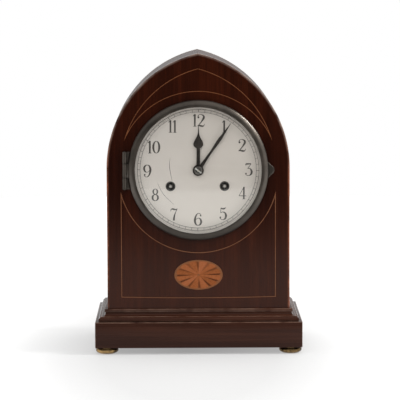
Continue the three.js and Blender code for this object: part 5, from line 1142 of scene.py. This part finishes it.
# %% Rules that repeat
def rule(name, sizes, **others):
    """A new tree with named inputs. Returns it with its input sockets."""
    tree = bpy.data.node_groups.new(name, "GeometryNodeTree")
    tree.interface.new_socket(name="Geometry", in_out="OUTPUT", socket_type="NodeSocketGeometry")
    for label, kind in {**others, **dict.fromkeys(sizes.split(), "Float")}.items():
        tree.interface.new_socket(name=label, in_out="INPUT", socket_type="NodeSocket" + kind)
    return tree, tree.nodes.new("NodeGroupInput").outputs


def shape_node(tree, kind, **inputs):
    named = {name.replace("_", " "): value for name, value in inputs.items()}
    return node(tree, "GeometryNode" + kind, named).outputs[0]


def xyz(tree, **parts):
    return node(tree, "ShaderNodeCombineXYZ", parts).outputs[0]


def end_rule(tree, parts, finish):
    joined = node(tree, "GeometryNodeJoinGeometry", {})
    for made in parts:
        tree.links.new(made, joined.inputs[0])
    real = shape_node(tree, "RealizeInstances", Geometry=joined.outputs[0])
    dressed = shape_node(tree, "SetMaterial", Geometry=real, Material=finish)
    tree.links.new(dressed, tree.nodes.new("NodeGroupOutput").inputs[0])
    return tree


def grown(tree, start=None, **values):
    """What the rule makes from these values, as a plain mesh."""
    host = in_scene("rule", start or bpy.data.meshes.new("rule"))
    follow = host.modifiers.new("rule", "NODES")
    follow.node_group = tree
    for item in tree.interface.items_tree:
        if item.in_out == "INPUT" and item.name in values:
            follow[item.identifier] = values[item.name]
    return plain_mesh(host)


trial, _ = rule("trial", "Width Height", Count="Int")
print("inputs of a rule:", [item.name for item in trial.interface.items_tree if item.in_out == "INPUT"])
bpy.data.node_groups.remove(trial)

# %% Minute track
LINE_STEPS, TRACK_LIFT = 180, 0.04


def swept(tree, path, section):
    return shape_node(tree, "CurveToMesh", Curve=path, Profile_Curve=section, Fill_Caps=True)


def set_round(tree, count, radius, size, first=0.0, wider=1.0):
    """One small block on each point of a circle, turned outward."""
    step = sums(tree, "DIVIDE", 2 * pi, count)
    turn = plus(tree, first, times(tree, shape_node(tree, "InputIndex"), step))
    return shape_node(
        tree, "InstanceOnPoints", Points=shape_node(tree, "MeshCircle", Vertices=count, Radius=radius),
        Instance=shape_node(tree, "MeshCube", Size=size), Rotation=xyz(tree, Z=turn),
        Scale=xyz(tree, X=1, Y=wider, Z=1),
    )


def upright(mesh, x, y, z, turn=0.0):
    """Stands a shape drawn flat on the floor up to face the front, with its middle at the point."""
    stand = Matrix.Rotation(turn, 4, "Y") @ Matrix.Rotation(pi / 2, 4, "X")
    mesh.transform(Matrix.Translation(Vector((x, y, z)) * MM) @ stand)
    return mesh


def track_rule():
    tree, given = rule("minute_track", "Inner Outer Tick Bold Line Lift", Minutes="Int")
    middle = times(tree, plus(tree, given["Inner"], given["Outer"]), 0.5)
    fifth = sums(tree, "LESS_THAN", sums(tree, "MODULO", shape_node(tree, "InputIndex"), 5), 0.5)
    wider = plus(tree, 1, times(tree, fifth, sums(tree, "SUBTRACT", given["Bold"], 1)))
    deep = sums(tree, "SUBTRACT", given["Outer"], given["Inner"])
    size = xyz(tree, X=deep, Y=given["Tick"], Z=given["Lift"])
    parts = [set_round(tree, given["Minutes"], middle, size, wider=wider)]
    section = shape_node(tree, "CurvePrimitiveQuadrilateral", Width=given["Line"], Height=given["Lift"])
    for edge in ("Inner", "Outer"):
        path = shape_node(tree, "CurvePrimitiveCircle", Resolution=LINE_STEPS, Radius=given[edge])
        parts.append(swept(tree, path, section))
    return end_rule(tree, parts, ink)


track = grown(
    track_rule(), Minutes=60, Inner=58.7 * MM, Outer=61.4 * MM, Tick=0.32 * MM, Bold=1.4, Line=0.36 * MM,
    Lift=TRACK_LIFT * MM,
)
upright(track, 0, DIAL_FACE - TRACK_LIFT / 2, DIAL_Z, DIAL_TURN)
fit("minute_track", track, ink, "silvered_brass")

# %% [markdown]
# Two hair scratches cross the silvering near the left winding hole, where a key has slipped. They are fine
# dark grooves in the photograph, drawn here as hairlines on the dial.

# %% Scratches
SCRATCHES = [
    [(-28.2, 12.5, .06), (-29, 7, .18), (-28.6, .5, .24), (-26.3, -11, .14)],
    [(-41.2, -13, .08), (-38.2, -19.3, .15), (-33.8, -26, .18), (-24.2, -35.2, .08)],
]
SCRATCH_PROUD, SCRATCH_STEPS = 0.015, 8
hairlines = [ribbon(flow(stroke, SCRATCH_STEPS)) for stroke in SCRATCHES]
marks = [([on_dial(x, z, SCRATCH_PROUD) for x, z in edge], patch) for edge, patch in hairlines]
fit("hair_scratches", mesh_of(*gathered(marks)), ink, "silvered_brass")

# %% [markdown]
# The hands are filed from thin steel and blackened: a spade for the hours, a slim blade for the minutes. A
# domed collet holds them on the centre arbor, and a bright taper pin is pushed through in front of it.

# %% Hands
HAND_EASE, BOSS_STEPS, BORE_STEPS = 0.1, 40, 32
HOUR_EDGE = [
    (1.75, 5.6), (1.7, 21.5),
    *flow([
        (1.7, 22.4), (3.2, 23.2), (4.9, 25.6), (4.4, 28.8), (2.6, 32.2), (1.4, 34.7), (.62, 37.8), (.45, 41),
        (.2, 45),
    ]),
]
MINUTE_EDGE = [(1.85, 4.6), *flow([(1.8, 6), (1.2, 20), (1.28, 26), (1.72, 37.7), (1.05, 46), (.18, 57.8)])]


def hand(edge, hub, bore, front, back, clockwise):
    """A hand with a round boss, cut from sheet and turned away from twelve."""
    start = asin(edge[0][0] / hub)
    boss = arc(0, 0, hub, pi / 2 + start, 2.5 * pi - start, BOSS_STEPS)
    loops = [boss + edge + mirrored(edge), circle(0, 0, bore, BORE_STEPS)]
    turn = radians(clockwise)
    return plate([[about_centre(x, z, turn) for x, z in loop] for loop in loops], front, back, HAND_EASE)


spade = hand(HOUR_EDGE, hub=5.6, bore=3.2, front=-59.8, back=-59.1, clockwise=0.5)
fit("spade_hour_hand", spade, blackened, "steel", "hour_hand", body="hour_hand")
blade = hand(MINUTE_EDGE, hub=4.4, bore=1.9, front=-61.4, back=-60.7, clockwise=34.8)
fit("blade_minute_hand", blade, blackened, "steel", "minute_hand", body="minute_hand")

# %% Collet and pin
DOME = [
    (1.2, -61.7), (4.2, -61.7), (4.2, -61.95),
    *flow([(4.05, -62.2), (3.5, -62.75), (2.6, -63.1), (1.6, -63.2)], 4), (1.2, -63.2),
]
TAPER = [(0, -4.0), (0.5, -3.9), (0.56, -3.7), (0.82, 3.6), (0.74, 3.9), (0, 4.0)]
TAPER_Y, TAPER_TURN, TAPER_SIDES = -63.85, radians(-52), 16
collet = turned(DOME, COLLET_SIDES, at=DIAL_CENTRE)
fit("domed_collet", collet, collet_steel, "steel", "hand_collet", body="minute_hand")
taper = turned(TAPER, TAPER_SIDES, ABOUT_Z)
taper.transform(Matrix.Translation(Vector((0, TAPER_Y, DIAL_Z)) * MM) @ Matrix.Rotation(TAPER_TURN, 4, "Y"))
fit("taper_pin", taper, bright_steel, "steel", body="minute_hand")

# %% [markdown]
# Behind the back plate hang the pendulum and the gong. The bob is a brass lens that slides on the rod, and
# the milled nut under it sets its height and so the clock's rate. The nut's milling is one small ridge, set
# round the edge by the same kind of rule as the minute track.

# %% Pendulum bob
ROD_Y, BOB_Z, BOB_RADIUS, BOB_HALF, BORE = 10.8, 84.7, 20, 6, 1.55
BOB_SIDES, DRILL_HALF, DRILL_SIDES = 96, 25, 24
LENS = [(0, BOB_HALF), *flow([(3, 5.98), (9, 5.3), (14, 3.9), (18, 1.9), (19.6, 0.55)]), (BOB_RADIUS, 0.3)]


def bored(mesh, tool):
    """The mesh with the tool's shape cut out of it."""
    work, cutter = in_scene("work", cleaned(mesh)), in_scene("cutter", cleaned(tool))
    cut = work.modifiers.new("bore", "BOOLEAN")
    cut.operation, cut.object, cut.solver = "DIFFERENCE", cutter, "EXACT"
    made = plain_mesh(work)
    bpy.data.objects.remove(cutter)
    return made


bob_place = (0, ROD_Y, BOB_Z)
lens = turned([(r, -y) for r, y in LENS] + [(r, y) for r, y in reversed(LENS)], BOB_SIDES, at=bob_place)
drill = [(0, -DRILL_HALF), (BORE, -DRILL_HALF), (BORE, DRILL_HALF), (0, DRILL_HALF)]
bob = bored(lens, turned(drill, DRILL_SIDES, ABOUT_Z, bob_place))
fit("lens_bob", bob, brass, "brass", "pendulum_bob", body="bob")

# %% Rating nut
NUT_LOW, NUT_HIGH, NUT_RADIUS, NUT_NECK, NUT_EASE = 60.4, 64.4, 3.9, 3.5, 0.4
RIDGES = 44


def milling_rule():
    tree, given = rule("milling", "Radius Size Height", Ridges="Int")
    size = xyz(tree, X=given["Size"], Y=given["Size"], Z=given["Height"])
    return end_rule(tree, [set_round(tree, given["Ridges"], given["Radius"], size, first=pi / 4)], brass)


ridges = grown(milling_rule(), Ridges=RIDGES, Radius=NUT_RADIUS * MM, Size=0.4 * MM, Height=3.2 * MM)
ridges.transform(Matrix.Translation(Vector((0, ROD_Y, (NUT_LOW + NUT_HIGH) / 2)) * MM))
NUT = [
    (BORE, NUT_LOW), (NUT_NECK, NUT_LOW), (NUT_RADIUS, NUT_LOW + NUT_EASE), (NUT_RADIUS, NUT_HIGH - NUT_EASE),
    (NUT_NECK, NUT_HIGH), (BORE, NUT_HIGH),
]
nut = together(turned(NUT, RIDGES, ABOUT_Z, (0, ROD_Y, 0)), ridges)
fit("milled_nut", nut, brass, "brass", "rating_nut", body="rating_nut")

# %% [markdown]
# The gong is a steel wire wound hot into a flat spiral and gripped at its inner end, so the rest can ring.
# The mainsprings are spirals too, but of wide thin ribbon. Both follow one rule: a spiral path, and a section
# swept along it.

# %% Gong
GONG_X, GONG_Y, GONG_Z, GONG_TURNS, GONG_PITCH, GONG_INNER = -4, 29.8, 107.4, 3.6, 7.5, 8
GONG_STEPS, WIRE_SIDES = 96, 16


def spiral(tree, given, steps):
    return shape_node(
        tree, "CurveSpiral", Resolution=steps, Rotations=given["Turns"], Start_Radius=given["Inner"],
        End_Radius=given["Outer"], Height=0.0,
    )


def gong_rule():
    tree, given = rule("gong", "Turns Inner Outer Wire Lead Lap")
    start = xyz(tree, X=given["Inner"], Y=times(tree, given["Lead"], -1))
    end = xyz(tree, X=given["Inner"], Y=given["Lap"])
    paths = [spiral(tree, given, GONG_STEPS), shape_node(tree, "CurvePrimitiveLine", Start=start, End=end)]
    wire = shape_node(tree, "CurvePrimitiveCircle", Resolution=WIRE_SIDES, Radius=given["Wire"])
    return end_rule(tree, [swept(tree, path, wire) for path in paths], steel)


gong = grown(
    gong_rule(), Turns=GONG_TURNS, Inner=GONG_INNER * MM, Outer=(GONG_INNER + GONG_TURNS * GONG_PITCH) * MM,
    Wire=1.5 * MM, Lead=3 * MM, Lap=0.5 * MM,
)
fit("coil_gong", upright(gong, GONG_X, GONG_Y, GONG_Z), steel, "steel", "gong")

# %% Mainsprings
SPRING_MIDDLE, SPRING_STEPS = -33.0, 48
TRAINS = list(zip(("going", "strike"), SQUARES))


def spring_rule():
    tree, given = rule("mainspring", "Turns Inner Outer Sheet Width")
    section = shape_node(tree, "CurvePrimitiveQuadrilateral", Width=given["Sheet"], Height=given["Width"])
    return end_rule(tree, [swept(tree, spiral(tree, given, SPRING_STEPS), section)], steel)


coiled = spring_rule()
for train, (x, z) in TRAINS:
    spring = grown(coiled, Turns=8.0, Inner=3.9 * MM, Outer=17.2 * MM, Sheet=0.45 * MM, Width=15.0 * MM)
    upright(spring, x, SPRING_MIDDLE, z)
    fit(f"{train}_ribbon_spring", spring, steel, "steel", f"{train}_mainspring", body=f"{train}_barrel")

# %% [markdown]
# Screws. One slotted head is made by cutting a slot across a low dome, then a rule sets copies of it on
# chosen points: the fixed leaves and the moving leaves of the door's two hinges.

# %% Screws
HEAD, HEAD_UNDER, HEAD_TOP, HEAD_SIDES = 1.7, -0.3, 0.42, 24
SLOT_WIDE, SLOT_DEEP, SLOT_TOP, SLOT_EASE = 0.5, 0.45, 1, 0.01
LEAF_FACE, LEAF_HEIGHTS, FIXED_X, MOVING_X, APART = 65.5, (84.4, 172.4), 80.8, 70.4, 8
HEAD_TURN = 1.1  # no two slots point the same way


def screw_rule():
    tree, given = rule("screws", "Turn", Points="Geometry", Screw="Object")
    model = node(tree, "GeometryNodeObjectInfo", {"Object": given["Screw"]}).outputs["Geometry"]
    turn = xyz(tree, Y=times(tree, shape_node(tree, "InputIndex"), given["Turn"]))
    heads = shape_node(tree, "InstanceOnPoints", Points=given["Points"], Instance=model, Rotation=turn)
    return end_rule(tree, [heads], brass)


head = turned(
    [(0, HEAD_UNDER), (HEAD, HEAD_UNDER), (HEAD, 0.05), (HEAD - 0.25, 0.3), (0, HEAD_TOP)], HEAD_SIDES
)
slot = block(
    (-2 * HEAD, HEAD_TOP - SLOT_DEEP, -SLOT_WIDE / 2), (2 * HEAD, SLOT_TOP, SLOT_WIDE / 2), SLOT_EASE
)
screw, screws = in_scene("screw_head", cleaned(bored(head, slot))), screw_rule()
fixed = [(FIXED_X, LEAF_FACE, z + s) for z in LEAF_HEIGHTS for s in (-APART, APART)]
moving = [(MOVING_X, LEAF_FACE, z) for z in LEAF_HEIGHTS]
for name, spots, body in (("fixed_leaf_screws", fixed, "case"), ("door_leaf_screws", moving, "back_door")):
    fit(name, grown(screws, mesh_of(spots, []), Screw=screw, Turn=HEAD_TURN), brass, "brass", body=body)
bpy.data.objects.remove(screw)

# %% [markdown]
# The rest of the movement keeps its CAD shapes: plates, wheels, arbors and the hammer. They get their metals
# here, so that what shows through the open door is finished too.

# %% Finishes of the CAD pieces
def arbor_steel(name, x, z):
    """Oily and dark inside, rubbed bright by the key at the square's end."""
    finish = metal(name, ((0.05, 0.043, 0.038), (0.08, 0.069, 0.062)), (0.3, 0.45), 0.4)
    tree, skin, dull = taken_up(finish)
    ahead = axis_of(tree, space(tree, (1, -400, 1), (0, DIAL_BACK, 0)), "Y")
    away = reach_of(tree, space(tree, (100, 0, 100), (x, 0, z)))
    rubbed = times(tree, mask(tree, ahead, 0, 0.3), ramp(tree, away, [(0.07, 1), (0.2, 0)]))
    fed(tree, skin, Base_Color=blend(tree, rubbed, dull, (0.5, 0.465, 0.43)))
    return finish


STEEL_NODES = {"going_click", "strike_click", "anchor", "pendulum_rod", "cannon_pinion", "hammer"}
OTHER_NODES = {"seat_board": seat_pine, "gong_block": iron}
for train, (x, z) in TRAINS:
    OTHER_NODES[f"{train}_winding_arbor"] = arbor_steel(f"{train}_winding_steel", x, z)
stood_for = {name for obj in bpy.context.scene.objects for name in obj.get("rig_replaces", [])}
for name, obj in frame["nodes"].items():
    if name not in stood_for:
        obj.data.materials.clear()
        obj.data.materials.append(OTHER_NODES.get(name, steel if name in STEEL_NODES else brass))
print("CAD pieces shown:", len(frame["nodes"]) - len(stood_for))

# %% [markdown]
# The photograph was taken on a white sweep with a soft light overhead. The room behind the camera was dark,
# which is why the polish looks deep in the upper half and only the floor is mirrored lower down.

# %% Floor
FLOOR_RADIUS, FLOOR_SIDES, PAPER_EDGE = 1500, 96, -850
TOOTH, TOOTH_SHARE = (300, 300, 300), 0.06
# painted shade round the clock's foot, and a glow that lights the paper though it is no lamp
PAPER_PAINTED_SHADE = [(0, (0.38, 0.378, 0.374)), (0.14, (0.3, 0.299, 0.296)), (0.5, 0.34)]
GLOW_AND_PAINTED_SHADE = [(0, 0.32), (0.14, 0.4), (0.2, 0.46), (0.257, 0.55), (0.3, 0.65), (0.36, 0.85), (0.6, 0.95)]


def floor_finish():
    """White paper that glows a little of itself, with a painted soft shade round the clock's foot, where its
    colour and glow are lowered.
    """
    finish, tree, skin = new_finish("paper_sweep")
    tooth = times(tree, noise(tree, space(tree, TOOTH)), TOOTH_SHARE)
    away = reach_of(tree, space(tree, (1.6, 0.55, 1), (-10, -60, 0)))
    fed(
        tree, skin, Base_Color=blend(tree, tooth, ramp(tree, away, PAPER_PAINTED_SHADE), (1, 1, 1)), Roughness=0.9,
        Specular_IOR_Level=0.1, Emission_Color=ramp(tree, away, GLOW_AND_PAINTED_SHADE), Emission_Strength=1,
    )
    return finish


edge = [(x, max(y, PAPER_EDGE), 0) for x, y in circle(0, 0, FLOOR_RADIUS, FLOOR_SIDES)]
floor = in_scene("paper_floor", mesh_of(edge, [tuple(range(FLOOR_SIDES))]))
floor.data.materials.append(floor_finish())
print("floor:", FLOOR_RADIUS, "mm to its edge")

# %% Light
def studio():
    """A room that is dark behind the camera and bright behind the clock, with a window at the right."""
    world = bpy.data.worlds.new("studio")
    world.use_nodes = True
    tree = world.node_tree
    toward = node(tree, "ShaderNodeTexCoord", {}).outputs["Generated"]
    side, back, high = (plus(tree, times(tree, axis_of(tree, toward, axis), 0.5), 0.5) for axis in "XYZ")
    rays = node(tree, "ShaderNodeLightPath", {}).outputs

    def lit(room, factor, stops):
        return blend(tree, 1.0, room, ramp(tree, factor, stops), "LIGHTEN")

    room = ramp(tree, back, [(0.2, 0.02), (0.6, 0.3), (0.92, 0.9)])
    room = lit(room, high, [(0.4, 1), (0.49, 0), (0.6, 0), (0.76, 1.1)])
    in_polish = ramp(tree, back, [(0.2, 0.1), (0.5, 0.5), (0.86, 0.45), (0.98, 0.8)])
    in_polish = lit(in_polish, side, [(0.06, 0.2), (0.24, 0), (0.74, 0), (0.92, (0.6, 0.57, 0.54))])
    in_polish = lit(in_polish, high, [(0.66, 0), (0.82, 0.52)])
    room = lit(blend(tree, rays["Is Glossy Ray"], room, in_polish), side, [(0.79, 0), (0.95, 0.95)])
    white_behind = blend(tree, rays["Is Camera Ray"], room, (1, 1, 1))
    feed(tree, tree.nodes["Background"].inputs["Color"], white_behind)
    return world


def soft_box(name, place, aim, wide, deep, watts, shown=False):
    lamp = bpy.data.lights.new(name, "AREA")
    lamp.shape, lamp.size, lamp.size_y, lamp.energy = "RECTANGLE", wide, deep, watts
    obj = in_scene(name, lamp)
    obj.location = place
    obj.rotation_euler = (Vector(aim) - Vector(place)).to_track_quat("-Z", "Y").to_euler()
    obj.visible_glossy = shown  # whether polished pieces show the lamp
    print(f"{name}: {watts} W")


scene = bpy.context.scene
scene.world = studio()
scene.view_settings.view_transform = "Standard"
soft_box("overhead", (0.1, 0.35, 1.9), (0, 0, 0.15), wide=1.7, deep=1.3, watts=9)
soft_box("front_fill", (-0.3, -2.4, 1.6), (0, 0, 0.18), wide=1.3, deep=1.3, watts=17)
soft_box("right_window", (1.5, -0.2, 1.45), (0, 0, 0.18), wide=0.22, deep=0.6, watts=22, shown=True)

# %% [markdown]
# The upright edges in the photograph run almost parallel, so the camera stands well back with a long lens. It
# looks down a little, from a hand's breadth above the arch's point.

# %% Camera
DISTANCE, HEIGHT, ACROSS = 2274, 388.5, 2.17
PITCH, YAW, ROLL = radians(5.99), radians(0.44), radians(-0.20)
FOCAL, SENSOR, NEAR, FAR = 198.4, 36, 0.05, 50


def photographers_camera():
    ahead = Vector((sin(YAW), cos(YAW), 0))
    right = Vector((cos(YAW), -sin(YAW), 0))
    place = right * ACROSS - ahead * DISTANCE + Vector((0, 0, HEIGHT))
    look = ahead * cos(PITCH) - Vector((0, 0, sin(PITCH)))
    up = ahead * sin(PITCH) + Vector((0, 0, cos(PITCH)))
    turn = Matrix((right, up, -look)).transposed() @ Matrix.Rotation(ROLL, 3, "Z")
    lens = bpy.data.cameras.new("camera")
    lens.lens, lens.sensor_width, lens.clip_start, lens.clip_end = FOCAL, SENSOR, NEAR, FAR
    obj = in_scene("camera", lens)
    obj.matrix_world = Matrix.Translation(place * MM) @ turn.to_4x4()
    return obj


scene.camera = photographers_camera()
print("camera:", DISTANCE, "mm away")
